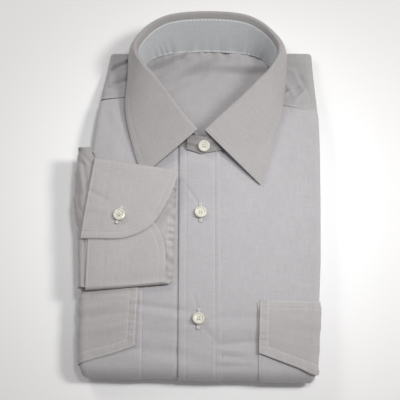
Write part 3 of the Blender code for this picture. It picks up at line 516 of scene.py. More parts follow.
# %% Weave group
def make_weave():
    """Plain weave: height of crossing threads, and a tint of uneven yarn."""
    group, inside, outside = new_group("Plain weave", [
        ("Cloth", "NodeSocketVector", None), ("Threads per cm", NUMBER, 22.0), ("Slub", NUMBER, 1.0),
    ], [("Height", NUMBER), ("Tint", NUMBER)])
    cloth_at, count, slub = inside.outputs[:3]
    parts = node(group, "ShaderNodeSeparateXYZ", {0: cloth_at}).outputs
    warp_at = calc(group, "MULTIPLY", parts[0], count)
    weft_at = calc(group, "MULTIPLY", parts[1], count)
    warp = calc(group, "ABSOLUTE", calc(group, "SINE", calc(group, "MULTIPLY", warp_at, math.pi)))
    weft = calc(group, "ABSOLUTE", calc(group, "SINE", calc(group, "MULTIPLY", weft_at, math.pi)))
    turn = calc(group, "ADD", calc(group, "FLOOR", warp_at), calc(group, "FLOOR", weft_at))
    over = calc(group, "PINGPONG", turn, 1.0)
    under = calc(group, "SUBTRACT", 1.0, over)
    threads = calc(group, "ADD", calc(group, "MULTIPLY", warp, over), calc(group, "MULTIPLY", weft, under))
    streaks = []
    for scale in ((34.0, 1.1, 1.0), (1.1, 34.0, 1.0), (9.0, 0.5, 1.0), (0.6, 9.0, 1.0)):
        at = node(group, "ShaderNodeVectorMath", {0: cloth_at, 1: scale}, operation="MULTIPLY").outputs[0]
        grain = {"Vector": at, "Scale": 1.0, "Detail": 2.0, "Roughness": 0.6}
        noise = node(group, "ShaderNodeTexNoise", grain)
        streaks.append(calc(group, "SUBTRACT", noise.outputs[0], 0.5))
    fine = calc(group, "ADD", streaks[0], streaks[1])
    broad = calc(group, "ADD", streaks[2], streaks[3])
    cloudy = node(group, "ShaderNodeTexNoise", {"Vector": cloth_at, "Scale": 0.35, "Detail": 3.0}).outputs[0]
    tint = calc(group, "MULTIPLY", fine, 0.30)
    tint = calc(group, "MULTIPLY_ADD", broad, 0.16, tint)
    tint = calc(group, "MULTIPLY", tint, slub)
    tint = calc(group, "MULTIPLY_ADD", calc(group, "SUBTRACT", cloudy, 0.5), 0.10, tint)
    tint = calc(group, "MULTIPLY_ADD", calc(group, "SUBTRACT", threads, 0.5), 0.06, tint)
    group.links.new(calc(group, "MULTIPLY_ADD", fine, 0.8, threads), outside.inputs["Height"])
    group.links.new(tint, outside.inputs["Tint"])
    return group


WEAVE = make_weave()
print("weave group has", len(WEAVE.nodes), "nodes")

# %% [markdown]
# ## The stitch rows
# A lockstitch shows as short threads in a shallow valley, at one distance from the edge all the
# way along. Thousands of little thread meshes could be laid down, but at this size they would
# only cost time. The shell already knows each point's distance from the edge and along it, so
# the group draws the dashes from those two and gives a mask and a height.

# %% Stitch group
def make_stitch_row():
    """A row of stitches at a set distance from a sewn edge, in millimetres."""
    group, inside, outside = new_group("Stitch row", [
        ("Edge", NUMBER, 0.0), ("Run", NUMBER, 0.0), ("Inset", NUMBER, 6.0), ("Width", NUMBER, 0.45),
        ("Length", NUMBER, 2.6),
    ], [("Thread", NUMBER), ("Height", NUMBER)])
    edge, run, inset, width, length = inside.outputs[:5]
    off = calc(group, "ABSOLUTE", calc(group, "SUBTRACT", edge, inset))
    band = fade(group, off, calc(group, "MULTIPLY", width, 1.5), calc(group, "MULTIPLY", width, 0.5))
    place = calc(group, "FRACT", calc(group, "DIVIDE", run, length))
    inner = calc(group, "ABSOLUTE", calc(group, "SUBTRACT", place, 0.5))
    dash = fade(group, inner, 0.42, 0.34)
    thread = calc(group, "MULTIPLY", band, dash)
    dent = fade(group, off, 1.3, 0.2, 0.0, -1.0)
    group.links.new(thread, outside.inputs["Thread"])
    group.links.new(calc(group, "MULTIPLY_ADD", thread, 0.9, dent), outside.inputs["Height"])
    return group


STITCH_ROW = make_stitch_row()
print("stitch group has", len(STITCH_ROW.nodes), "nodes")

# %% [markdown]
# ## The cloth materials
# The body is a cool grey and the collar, cuff and flaps are a touch warmer, because they are cut
# on another grain and catch the light in another way. The inside of the band is paler and
# bluer. One function makes them all, so that only the colour, the sheen and the stitch rows
# differ. `rows` lists how far in each stitch row lies, and `thread` how pale the thread is.

# %% Cloth materials
def cloth_look(name, colour, rows=(), sheen=0.25, slub=1.0, thread=1.14):
    """Woven cloth of one colour, with stitch rows at the distances in rows."""
    look = bpy.data.materials.new(name)
    look.use_nodes = True
    tree = look.node_tree
    shader = tree.nodes["Principled BSDF"]
    shader.inputs["Roughness"].default_value = 0.78
    shader.inputs["Specular IOR Level"].default_value = 0.28
    shader.inputs["Sheen Weight"].default_value = sheen
    shader.inputs["Sheen Roughness"].default_value = 0.45
    place = node(tree, "ShaderNodeUVMap", uv_map="cloth").outputs[0]
    weave = node(tree, "ShaderNodeGroup", node_tree=WEAVE)
    tree.links.new(place, weave.inputs["Cloth"])
    weave.inputs["Slub"].default_value = slub
    bright = calc(tree, "ADD", 1.0, weave.outputs["Tint"])
    base = node(tree, "ShaderNodeVectorMath", {0: colour, "Scale": bright}, operation="SCALE").outputs[0]
    height = calc(tree, "MULTIPLY", weave.outputs["Height"], 0.22)
    if rows:
        edge = node(tree, "ShaderNodeAttribute", attribute_name="edge").outputs["Fac"]
        run = node(tree, "ShaderNodeAttribute", attribute_name="run").outputs["Fac"]
        for inset in rows:
            row = node(tree, "ShaderNodeGroup", node_tree=STITCH_ROW)
            tree.links.new(edge, row.inputs["Edge"])
            tree.links.new(run, row.inputs["Run"])
            row.inputs["Inset"].default_value = inset
            pale = tuple(min(1.0, c * thread) for c in colour)
            mix = {"Factor": row.outputs["Thread"], "A": base, "B": pale}
            base = node(tree, "ShaderNodeMix", mix, data_type="VECTOR").outputs[1]
            height = calc(tree, "MULTIPLY_ADD", row.outputs["Height"], 1.6, height)
    bump = node(tree, "ShaderNodeBump", {"Strength": 0.35, "Distance": 0.00022, "Height": height})
    tree.links.new(base, shader.inputs["Base Color"])
    tree.links.new(bump.outputs[0], shader.inputs["Normal"])
    return look


def shade(colour, share):
    return tuple(c * share for c in colour)


BODY_GREY = (0.436, 0.426, 0.438)
TRIM_GREY = (0.442, 0.424, 0.422)
BAND_GREY = (0.500, 0.516, 0.527)
BODY_LOOK = cloth_look("body_cloth_woven", BODY_GREY)
PLACKET_LOOK = cloth_look("placket_cloth_woven", BODY_GREY, rows=(6.5,))
POCKET_LOOK = cloth_look("pocket_cloth_woven", BODY_GREY, rows=(1.2,))
FLAP_LOOK = cloth_look("flap_cloth_woven", shade(TRIM_GREY, 0.96), rows=(1.4, 8.0), thread=1.24)
LEAF_LOOK = cloth_look("collar_cloth_woven", shade(TRIM_GREY, 0.88), rows=(6.0,), sheen=0.3, thread=1.05)
BAND_LOOK = cloth_look("band_cloth_woven", BAND_GREY, rows=(1.6, 32.6), thread=1.6)
# Front ends of the band: the outside cloth's grey, darkened as painted shade for the leaves' shadow.
BAND_END_PAINTED_SHADE_LOOK = cloth_look("band_end_painted_shade_woven", shade(TRIM_GREY, 0.66))
CUFF_LOOK = cloth_look("cuff_cloth_woven", TRIM_GREY, rows=(6.0,), sheen=0.3, thread=1.12)
SLEEVE_LOOK = cloth_look("sleeve_cloth_woven", shade(TRIM_GREY, 0.88))
YOKE_LOOK = cloth_look("yoke_cloth_woven", (0.392, 0.381, 0.384), rows=(2.0,))
INNER_LOOK = cloth_look("inner_cloth_woven", (0.39, 0.39, 0.40))
print("cloth looks:", len([m for m in bpy.data.materials if m.name.endswith("_woven")]))

# %% [markdown]
# ## The two fronts
# The wearer's left front laps over the right one at the buttons. Both are cut as long panels and
# here each runs from its neckline, down the front, round the bottom fold and back under as far
# as the tail hem. Two plain slabs would look the same from above and wrong from every side, so
# each is one sheet laid with `cloth`. Under the lap the right front sinks by one layer, as the
# real one is pressed.

# %% Lay the fronts
def spread(low, high, pitch):
    count = max(2, int(round((high - low) / pitch)) + 1)
    return list(np.linspace(low, high, count))


def round_fold(count):
    """Rows that carry cloth round the bottom fold, in sixteenths of the half turn."""
    return [TURN_Q + FOLD_R * math.pi * k / 16 for k in range(1, count + 1)]


def tail_q(p):
    """Tail hem, which curves up towards the side seams."""
    return UNDER_Q + (TAIL_HEM_Y - FOLD_Y) - 26.0 * (np.clip(p, -110, 110) / 110.0) ** 2


def front_rows(p):
    upper = list(np.linspace(front_top_q(p), TURN_Q, 130))
    return upper + round_fold(15) + list(np.linspace(UNDER_Q, tail_q(p), 90))


def make_front(name, low, high, sunk):
    lines = spread(low, high, 1.7)
    base, normal, x, y = lay(lines, front_rows)
    h = front_relief(x, y)
    if sunk:
        h = h - 1.0 * ease(-24.5, -20.2, x) * (1 - ease(20.6, 24.5, x))
    gap = np.minimum(x - low, 200) if not sunk else np.minimum(high - x, 200)
    seam = yoke_seam_y(x) - y
    h = h - 0.7 * ease(1.6, 0.2, seam)
    outer = base + normal * (h + soft_edge(gap, 1.2, 0.2))[..., None]
    inner = base + normal * (h - 0.7)[..., None]
    return shell(name, outer, inner, np.stack([x, y], axis=2), BODY_LOOK)


LAP_X = 17.0           # how far the right front runs under the left
FRONT_SIDE = 115.2     # cross line where both fronts end, round the side fold
left_front = make_front("left_front_cloth", EDGE_X, FRONT_SIDE, False)
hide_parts("left_front")
right_front = make_front("right_front_cloth", -FRONT_SIDE, LAP_X, True)
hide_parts("right_front")

# %% [markdown]
# ## The placket
# A strip of cloth four centimetres wide carries the buttonholes. It is stitched down on both
# edges, six and a half millimetres in, and each row pulls a shallow groove and fine puckers.
# A line drawn on the front could suggest it, but a real strip catches light along its edge, so
# it is a sheet of its own, laid on the front with the same creases running through it.

# %% Lay the placket
PLACKET_SEAM = 6.5     # distance of its stitch rows from its edges


def placket_rows(p):
    return list(np.linspace(front_top_q(p) + 0.4, TURN_Q, 170)) + round_fold(10)


def make_placket():
    base, normal, x, y = lay(spread(EDGE_X, EDGE_X + PLACKET_W, 0.8), placket_rows)
    gap = np.minimum(x - EDGE_X, EDGE_X + PLACKET_W - x)
    h = front_relief(x, y) * 0.8 + relief(PLACKET_CREASES, x, y, 1.5) + 0.12
    h += groove(gap, PLACKET_SEAM, 0.28, 0.8) + pucker(y * 1.3, gap - PLACKET_SEAM, 0.10, 2.6)
    h += 0.35 * np.exp(-((x - EDGE_X - PLACKET_W + 3.2) / 1.6) ** 2) * ease(-150, -60, y)
    outer = base + normal * (h + 0.75 + soft_edge(gap, 1.4, 0.35))[..., None]
    inner = base + normal * h[..., None]
    weave = np.stack([x, y], axis=2)
    return shell("placket_cloth", outer, inner, weave, PLACKET_LOOK, edge=gap, run=y)


placket = make_placket()
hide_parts("front_placket")

# %% [markdown]
# ## Pockets and flaps
# Only the inner part of each chest pocket lies on top: the rest is folded round the side edge.
# The patch runs on over the bottom fold. It could be cut out of the front's own mesh, but a
# sheet laid on top gives the stepped edge that shows. -1 is the wearer's right, 1 the left.

# %% Lay the pockets
FLAP_TOP = {-1: -87.3, 1: -98.9}
POCKET_INNER = {-1: 52.6, 1: 52.9}


def make_pocket(side):
    word = "left" if side > 0 else "right"
    mouth = -FLAP_TOP[side] + 2.0

    def rows(p):
        return spread(mouth, TURN_Q, 1.3) + round_fold(10)

    lines = [side * v for v in spread(POCKET_INNER[side], 112.0, 1.3)]
    base, normal, x, y = lay(sorted(lines), rows)
    gap = np.abs(x) - POCKET_INNER[side]
    run = -y
    hem_crease = [(side * 60, -150, side * 96, -158, 1.0, 4.0)]
    h = front_relief(x, y) * 0.9 + SEAM_GAP + 0.3 * relief(hem_crease, x, y)
    h += groove(gap, 1.2, 0.15, 0.6) + pucker(run, gap - 1.2, 0.08, 2.0)
    outer = base + normal * (h + 0.75 + soft_edge(gap, 1.4, 0.4))[..., None]
    inner = base + normal * h[..., None]
    weave = np.stack([x, y], axis=2)
    piece = shell("pocket_cloth_" + word, outer, inner, weave, POCKET_LOOK, edge=gap, run=run)
    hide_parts("pocket_" + word)
    return piece


pockets = [make_pocket(side) for side in (-1, 1)]

# %% [markdown]
# ## The flaps
# Above each pocket hangs a flap with a slanted end. It is two layers turned out along the edge,
# so the edge is thick, carries two rows of stitches and curls up a little. A cut rectangle would
# miss the slant, so the grid's own rows are stretched to end on it.

# %% Lay the flaps
FLAP_INNER = {-1: (56.8, 58.7), 1: (55.1, 53.0)}
FLAP_LENGTH = {-1: 55.5, 1: 49.5}
FLAP_CURL = {-1: 0.5, 1: 1.3}
FLAP_REACH = 110.5     # cross line where a flap is folded under at the side
FLAP_SLANT = 0.36
FLAP_WAVES = [(60, 14, 108, 22, 0.45, 3.5), (64, 24, 104, 30, -0.4, 3.0),
              (70, 36, 110, 44, 0.4, 4.0), (62, 30, 90, 38, -0.3, 3.0)]


def flap_end(side, p):
    return -FLAP_TOP[side] + FLAP_LENGTH[side] + FLAP_SLANT * (abs(p) - 57.0)


def make_flap(side):
    word = "left" if side > 0 else "right"
    top = -FLAP_TOP[side]

    def inner_edge(q):
        share = min(1.0, max(0.0, (q - top) / 50.0))
        return FLAP_INNER[side][0] + share * (FLAP_INNER[side][1] - FLAP_INNER[side][0])

    start = inner_edge(top + 25)
    spots = []
    for share in spread(0, 1, 1 / 46):
        reach = start + share * (FLAP_REACH - start)
        s = (reach - start) / (FLAP_REACH - start)
        row = []
        for t in spread(0, 1, 1 / 56):
            q = top + t * (flap_end(side, reach) - top)
            row.append((side * (inner_edge(q) + s * (FLAP_REACH - inner_edge(q))), q))
        spots.append(row)
    if side < 0:
        spots = spots[::-1]
    base = np.array([[cloth(p, q) for p, q in row] for row in spots])
    normal = np.array([[cloth(p, q, 1.0) for p, q in row] for row in spots]) - base
    x = np.array([[p for p, q in row] for row in spots])
    y = np.array([[-q for p, q in row] for row in spots])
    side_gap = np.abs(x) - np.array([[inner_edge(q) for p, q in row] for row in spots])
    end_gap = (np.array([[flap_end(side, p) - q for p, q in row] for row in spots])) * 0.94
    top_gap = -y - top
    gap = np.minimum(side_gap, end_gap)
    run = np.where(side_gap < end_gap, -y - top, 60 + np.abs(x))
    h = front_relief(x, y) * 0.7 + 0.2 + LAYER * ease(0.5, 9.5, top_gap)
    waves = [(side * x0, -top - y0, side * x1, -top - y1, tall, wide)
             for x0, y0, x1, y1, tall, wide in FLAP_WAVES]
    h += relief(waves, x, y) * (1.0 if side < 0 else 0.5) * ease(0, 6, gap)
    h += groove(gap, 1.4, 0.12, 0.6) + groove(gap, 8.0, 0.25, 0.8) + groove(top_gap, 7.5, 0.5, 0.8)
    h += pucker(run * 1.1, gap - 5.0, 0.34, 4.2)
    h += 0.35 * ease(14, 4, top_gap) * ease(2.0, 5.0, top_gap)
    h += FLAP_CURL[side] * ease(9, 0, gap) * ease(2, 14, top_gap)
    outer = base + normal * (h + 1.1 + soft_edge(gap, 1.7, 0.5))[..., None]
    inner = base + normal * h[..., None]
    edge = np.where(top_gap < 12, np.where(gap < 9.2, gap, top_gap + 0.5), gap)
    weave = np.stack([x, y], axis=2)
    piece = shell("flap_cloth_" + word, outer, inner, weave, FLAP_LOOK, edge=edge, run=run)
    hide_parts("flap_" + word)
    return piece


flaps = [make_flap(side) for side in (-1, 1)]

# %% [markdown]
# ## The yoke
# The yoke covers both shoulders and the top of the back. On the folded shirt it is one hood of
# cloth: it comes up from under the bundle, over the shoulders to the front seams, and its
# inside is the floor that shows through the collar. A tube with a hole cut in it would be
# quicker, but its rows could not follow both the seams and the neck ring, so one closed ring of
# points is laid for each row and the faces inside the neck are left out. The creases on it are
# deeper than elsewhere, because the standing collar pushes the cloth together.

# %% Lay the yoke
NECK_MIDDLE_X = 7.5
FLOOR_START_Y = 46.5   # where the neck floor begins, under the collar button


def make_yoke():
    floor_rows = 26
    top_rows = 34
    turns = list(range(6, 89, 6))
    inside = [k / 22 for k in range(23)]
    outside = [(k + 1) / 24 for k in range(24)]
    rolls = [math.pi * k / 16 for k in range(1, 16)]
    seam_row = floor_rows
    back_row = seam_row + top_rows + 2

    def place_y(row, x):
        seam = yoke_seam_y(x) + SEAM_GAP
        if row <= seam_row:
            return FLOOR_START_Y + (seam - FLOOR_START_Y) * row / seam_row
        return seam + (SHOULDER_Y - seam) * (row - seam_row) / top_rows

    def half_row(side, row, inset):
        turning = row > seam_row + top_rows
        turn = turns[row - seam_row - top_rows - 1] if turning else 0
        at = SHOULDER_Y if turning else place_y(row, side * 60)
        radius = side_radius(-at)
        edge = side * (half_width(side, -at) - radius)
        near = NECK_MIDDLE_X + side * (51 - 8 * min(1.0, turn / 28)) if turning else ring_x(side, max(at, 47.0))
        if row <= seam_row:
            near -= side * 1.2
        middle_x = NECK_MIDDLE_X * ease(60, 150, at)
        xs = [middle_x + (near - middle_x) * f for f in inside] + [near + (edge - near) * f for f in outside]
        tops, bottoms = [], []
        for x in xs:
            bulge = 5.0 * max(0.0, 1 - ((x - NECK_MIDDLE_X) / 60.0) ** 2)
            if turning:
                angle = math.radians(turn)
                y = SHOULDER_Y + bulge + (SHOULDER_R - inset) * math.sin(angle)
                middle, half = SHOULDER_TOP - SHOULDER_R, (SHOULDER_R - inset) * math.cos(angle)
                tall, deep = middle + half, middle - half
            else:
                y = place_y(row, x) if row >= seam_row else place_y(row, side * 30)
                bulge = bulge * ease(seam_row + 8, seam_row + top_rows, row)
                y = y + bulge
                tall, deep = front_height(x, y - bulge) - inset, bottom_height(y - bulge) + inset
            tops.append((x, y, tall))
            bottoms.append((x, y, deep))
        half = (tops[-1][2] - bottoms[-1][2]) / 2
        middle = (tops[-1][2] + bottoms[-1][2]) / 2
        reach = (radius - inset) * (math.cos(math.radians(turn)) ** 0.5 if turning else 1.0)
        roll = [(edge + side * reach * math.sin(a), tops[-1][1], middle + half * math.cos(a)) for a in rolls]
        return tops, roll, bottoms

    def full_row(row, inset):
        left_top, left_roll, left_low = half_row(-1, row, inset)
        right_top, right_roll, right_low = half_row(1, row, inset)
        ring = left_top[:0:-1] + [left_top[0]] + right_top[1:] + right_roll
        return ring + right_low[:0:-1] + [right_low[0]] + left_low[1:] + left_roll[::-1]

    rows = seam_row + top_rows + 1 + len(turns)
    outer = np.array([full_row(r, 0.0) for r in range(rows)])
    inner = np.array([full_row(r, 0.8) for r in range(rows)])
    flat = len(inside) + len(outside) - 1
    top_last = 2 * flat
    low_first = top_last + len(rolls) + 1
    low_last = low_first + 2 * flat
    seam_gap = outer[..., 1] - (yoke_seam_y(outer[..., 0]) + SEAM_GAP)
    lift = np.zeros(outer.shape[:2])
    top_part = slice(0, top_last + 1)
    x, y = outer[:, top_part, 0], outer[:, top_part, 1]
    calm = (1 - ease(164, 174, y)) * (1 - ease(0.97, 1.0, np.abs(x) / 112.0))
    gap = seam_gap[:, top_part]
    uneven = relief(SHOULDER_CREASES, x, y, 1.6) + sway(x * 1.6, y * 1.6, 0.3)
    lift[:, top_part] = uneven * calm * ease(0.0, 3.0, gap)
    lift[:, top_part] += 0.5 * calm + pucker(x * 1.2, gap - 3.0, 0.3, 4.0) * calm
    lift[:, top_part] += soft_edge(np.maximum(gap, 0), 1.4, 0.5)
    floor_part = slice(low_first, low_last + 1)
    x, y = outer[:, floor_part, 0], outer[:, floor_part, 1]
    turned = np.array([0.0] * (back_row - 1) + [math.radians(t) for t in turns])[:, None]
    near_seam = from_edges(np.stack([x, y, 0 * x], axis=2), [(a, b, 0) for a, b in NECK_PATH])[0]
    inside_neck = ease(60, 75, y) * (1 - ease(62, 78, np.abs(x - NECK_MIDDLE_X)))
    rise = 6.0 * ease(24, 3, near_seam) * ease(125, 150, y) * np.cos(turned) ** 2
    calm = ease(50, 66, y) * np.cos(turned) ** 2
    gather = pucker(x * 0.8, near_seam - 3.0, 1.1, 5.0)
    uneven = relief(FLOOR_CREASES, x, y, 2.0) + sway(x * 1.3, y * 1.3, 0.6)
    lift[:, floor_part] = (3.0 + rise + gather + uneven) * calm * inside_neck
    outer[..., 2] += lift
    inner[..., 2] += lift
    stitch_gap = np.full(outer.shape[:2], 50.0)
    stitch_gap[:, top_part] = np.abs(seam_gap[:, top_part])

    def keep(i, j):
        if j < top_last:
            in_neck = len(outside) <= j < top_last - len(outside)
            return i >= (back_row if in_neck else seam_row)
        if low_first <= j < low_last:
            return len(outside) <= j - low_first < 2 * flat - len(outside) or i > seam_row
        return i >= seam_row

    weave = outer[..., :2].copy()
    return shell("yoke_cloth", outer, inner, weave, YOKE_LOOK, keep, closed=True,
                 edge=stitch_gap, run=outer[..., 0])


yoke = make_yoke()
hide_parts("yoke")

# %% [markdown]
# ## The collar's own lines
# A collar is two pieces: a stiff band that stands up round the neck, and a leaf that is sewn to
# its top, rolls over and falls outwards to two points. Both hang on the same three lines, the
# neck seam, the fold and the leaf's edge, so one helper gives all three at any place. A profile
# swept along a single curve would twist at the points, where those lines come together.

# %% Collar lines
def collar_frame(at):
    """Neck seam, fold and leaf edge as vectors at one place along the collar."""
    side = 1 if at >= 0 else -1
    nx, ny = neck_curve(at)
    fold = [neck_point(abs(at), "fold_" + c) for c in "xyz"]
    edge = [neck_point(abs(at), "edge_" + c) for c in "xyz"]
    fx, fy = lean(side * fold[0], fold[1])
    ex, ey = lean(side * edge[0], edge[1])
    seat = front_height(nx, min(ny, SHOULDER_Y)) + 1.8 - 1.5 * ease(154, 165, ny)
    return Vector((nx, ny, seat)), Vector((fx, fy, fold[2])), Vector((ex, ey, edge[2]))


back_neck, back_fold, back_edge = collar_frame(0)
print("collar stands", round(back_fold.z - back_neck.z, 1), "mm high at the back")

# %% [markdown]
# ## The leaf
# The roll must follow the fold's own line, or the leaf would look creased where it turns, so each
# profile is built from two straight arms and an arc between them, in the plane across the fold.
# The leaf is a little bellied between fold and edge, and its stitching lies six millimetres in.

# %% Shape the leaf
def leaf_profile(at, seam_steps=4, arc_steps=10, fall_steps=34):
    """Middle line of the leaf, from its seam inside, over the fold, to its edge."""
    neck, fold, edge = collar_frame(at)
    up = (fold - neck).normalized()
    down = (edge - fold).normalized()
    ahead, behind = min(at + 0.25, LAST_ROW), max(at - 0.25, -LAST_ROW)
    along = (collar_frame(ahead)[1] - collar_frame(behind)[1]).normalized()
    in_arm = (along * up.dot(along) - up).normalized()
    out_arm = (down - along * down.dot(along)).normalized()
    wedge = (in_arm + out_arm).normalized()
    half = in_arm.angle(out_arm) / 2
    top = fold - wedge * (FOLD_ROLL / math.sin(half) - FOLD_ROLL - LEAF_WALL / 2)
    centre = top + wedge * FOLD_ROLL / math.sin(half)
    first = top + in_arm * FOLD_ROLL / math.tan(half)
    second = top + out_arm * FOLD_ROLL / math.tan(half)
    arm_a, arm_b = first - centre, second - centre
    turn = arm_a.angle(arm_b)
    line = [first - up * FOLD_SEAM * (1 - k / seam_steps) for k in range(seam_steps)]
    for k in range(arc_steps + 1):
        share = k / arc_steps
        mix = arm_a * math.sin((1 - share) * turn) + arm_b * math.sin(share * turn)
        line.append(centre + mix / math.sin(turn))
    side = up.cross(down).cross(down).normalized()
    if side.z < 0:
        side = -side
    belly = 1.6 * (1 - ease(6.5, 8.5, abs(at)))
    for k in range(1, fall_steps + 1):
        share = k / fall_steps
        line.append(second + (edge - second) * share + side * belly * math.sin(math.pi * share))
    return line


COLLAR_STEPS = [k / 12 for k in range(-12 * LAST_ROW, 12 * LAST_ROW + 1)]
FALL_FROM = 14


def make_leaf():
    middle = np.array([leaf_profile(at) for at in COLLAR_STEPS])
    normal = grid_normals(middle)
    if normal[len(middle) // 2, -5, 1] < 0:
        normal = -normal
    outline = list(middle[0, FALL_FROM:]) + list(middle[:, -1]) + list(middle[-1, FALL_FROM:][::-1])
    gap, run = from_edges(middle, outline)
    at = np.array(COLLAR_STEPS)[:, None] * np.ones(middle.shape[1])[None, :]
    h = groove(gap, 6.0, 0.20, 0.9) + pucker(run * 1.2, gap - 6.0, 0.05, 3.0)
    h += 0.25 * np.sin(at * 2.1 + 0.7) * ease(4.0, 12.0, gap) + 0.2 * np.sin(run / 33.0) * ease(6, 20, gap)
    h *= ease(10, 16, np.arange(middle.shape[1]))[None, :]
    outer = middle + normal * (h + 0.65 + soft_edge(gap, 1.6, 0.3))[..., None]
    inner = middle + normal * (h - 0.65)[..., None]
    steps = np.linalg.norm(np.diff(middle, axis=1), axis=2)
    lengths = np.concatenate([np.zeros((len(middle), 1)), np.cumsum(steps, axis=1)], axis=1)
    flat = np.stack([at * 26.0, lengths], axis=2)
    return shell("collar_leaf_cloth", outer, inner, flat, LEAF_LOOK, edge=gap, run=run)


leaf = make_leaf()
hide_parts("collar_leaf")

# %% [markdown]
# ## The band
# The band carries the leaf and closes at the front with two lapped ends, where the collar button
# sits. It could be a plain upright strip, but a real one leans with the neck, hollows a little
# and ripples where the gathered neck seam pulls it. Its ends are cut from the outside cloth, so
# they get a second material in its grey, darkened as painted shade for the leaves' shadow.

# %% Shape the band
BAND_TALL = 34.0       # height of the flat band
BAND_FRONT_Y = 76      # its front ends lie below this line


def make_band():
    ends = []
    for at in COLLAR_STEPS:
        neck = collar_frame(at)[0]
        seam = leaf_profile(at, 1, 2, 1)[0]
        gap = SEAM_GAP + 1.0 * ease(7.5, 9, abs(at))
        ends.append((at, neck, seam - (seam - neck).normalized() * gap))

    def lowered(end, share):
        """An end station whose upper edge is pulled down, for the lapped ends."""
        return end[0], end[1], end[2] - (end[2] - end[1]) * 0.3 * share

    lap = [lowered(end, ease(0, 6, 6 - k)) for k, end in enumerate(ends[-7:-1])]
    tab = [lowered(end, ease(0, 6, k + 1)) for k, end in enumerate(ends[1:7])]
    ends = lap + ends + tab
    count = len(ends)
    shares = spread(0, 1, 1 / 18)
    middle = []
    for k, (at, neck, seam) in enumerate(ends):
        along = ends[min(k + 1, count - 1)][1] - ends[max(k - 1, 0)][1]
        normal = (seam - neck).cross(along).normalized()
        sunk = (BAND + 2 * SEAM_GAP) * (1 - ease(12, 30, k))
        ripple = 0.55 * math.sin(at * 13.0 + 2.0 * math.sin(at * 3.1)) * (1 - ease(2.6, 3.6, abs(at)))
        front = ease(7.8, 8.6, abs(at))
        row = []
        for share in shares:
            wave = ripple * (1 - share) ** 3
            waves = 0.45 * math.sin(share * 15.0) - 0.3 * math.sin(share * 9.0)
            crease = front * waves * share * (1 - share) * 3
            hollow = -0.8 * math.sin(math.pi * share) * (1 - front)
            row.append(neck + (seam - neck) * share + normal * (wave + crease + hollow - sunk))
        middle.append(row)
    middle = np.array(middle)
    normal = grid_normals(middle)
    half = BAND / 2 - 0.1
    outer = middle + normal * half
    inner = middle - normal * half
    at = np.array([e[0] for e in ends])[:, None] * np.ones(len(shares))[None, :]
    flat = np.stack([at * 24.0, np.ones(len(ends))[:, None] * np.array(shares)[None, :] * BAND_TALL], axis=2)
    piece = shell("collar_band_cloth", outer, inner, flat, BAND_LOOK,
                  edge=BAND_TALL - flat[..., 1], run=flat[..., 0])
    # The front ends get the second material, whose darkness is painted shade for the leaves' shadow.
    piece.data.materials.append(BAND_END_PAINTED_SHADE_LOOK)
    for face in piece.data.polygons:
        if face.center.y < (BAND_FRONT_Y + SHIFT[1]) * MM:
            face.material_index = 1
    return piece


band = make_band()
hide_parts("collar_stand")

# %% [markdown]
# ## The cuff
# A barrel cuff is one stiff strip with rounded ends, sewn round the sleeve and buttoned. Laid
# flat it is a flattened loop: under layer, bottom fold, upper layer, with one round end lapping
# over the other. Two separate plates would be simpler, but then no cloth would turn at the folds,
# so `cuff_stations` walks round the whole loop and one strip is laid along it.

# %% The cuff's loop
CUFF_WALL = 1.6
CUFF_FLOOR = (22.2, 0.0324, 0.0397)    # height at its corner, slope across, slope along
CUFF_ROOM = columns("from_seam room", [(0, 3.1), (9, 3.1), (40, 1.8), (84, 2.4)])
CUFF_SEAM_X = -105.4
LAP_END = 0.37         # how far down the upper round end reaches, as a share of the depth
UNDER_END = 0.72       # how far up the lower round end reaches
CUFF_CREASES = [(-104.0, 4.0, -90.0, -4.0, -0.5, 2.4), (-105.0, -12.0, -92.0, -15.0, 0.35, 3.0),
                (-84.0, 12.0, -60.0, 22.0, 0.2, 7.0), (-88.0, -34.0, -66.0, -26.0, -0.2, 6.0)]


def cuff_floor(x, y):
    return CUFF_FLOOR[0] + CUFF_FLOOR[1] * (x + 104) + CUFF_FLOOR[2] * (y + 85)


def cuff_seam_x(g):
    """Line where the sleeve is sewn on, at a share g of the cuff's depth."""
    return CUFF_SEAM_X + 4.8 * g ** 1.6


def cuff_stations():
    """Walk round the loop: share of the depth, layer, angle in a fold, and wrist edge."""
    stations = []
    for g in np.linspace(UNDER_END, 0.0, 44):
        bend = max(0.0, (g - 0.22) / (UNDER_END - 0.22))
        stations.append((g, "lower", 0.0, -82 + 50 * math.sqrt(max(0.0, 1 - bend * bend))))
    for k in range(1, 8):
        stations.append((0.0, "bottom", math.pi * k / 8, -32 + 6.5 * k / 8))
    for g in np.linspace(0.0, 1.0, 90):
        stations.append((g, "under", 0.0, -25.5 + 3.7 * g))
    for k in range(1, 8):
        stations.append((1.0, "top", math.pi * k / 8, -21.8 + 1.0 * k / 8))
    for t in np.linspace(0.0, 1.0, 64):
        bend = math.sin(t * math.pi / 2)
        sharp = 3.6 * math.sin(math.pi * min(t, 0.6) / 0.6)
        stations.append((1 - bend * (1 - LAP_END), "upper", 0.0, -81.6 + 60.8 * math.cos(t * math.pi / 2) - sharp))
    return stations


print("the cuff's loop has", len(cuff_stations()), "stations")


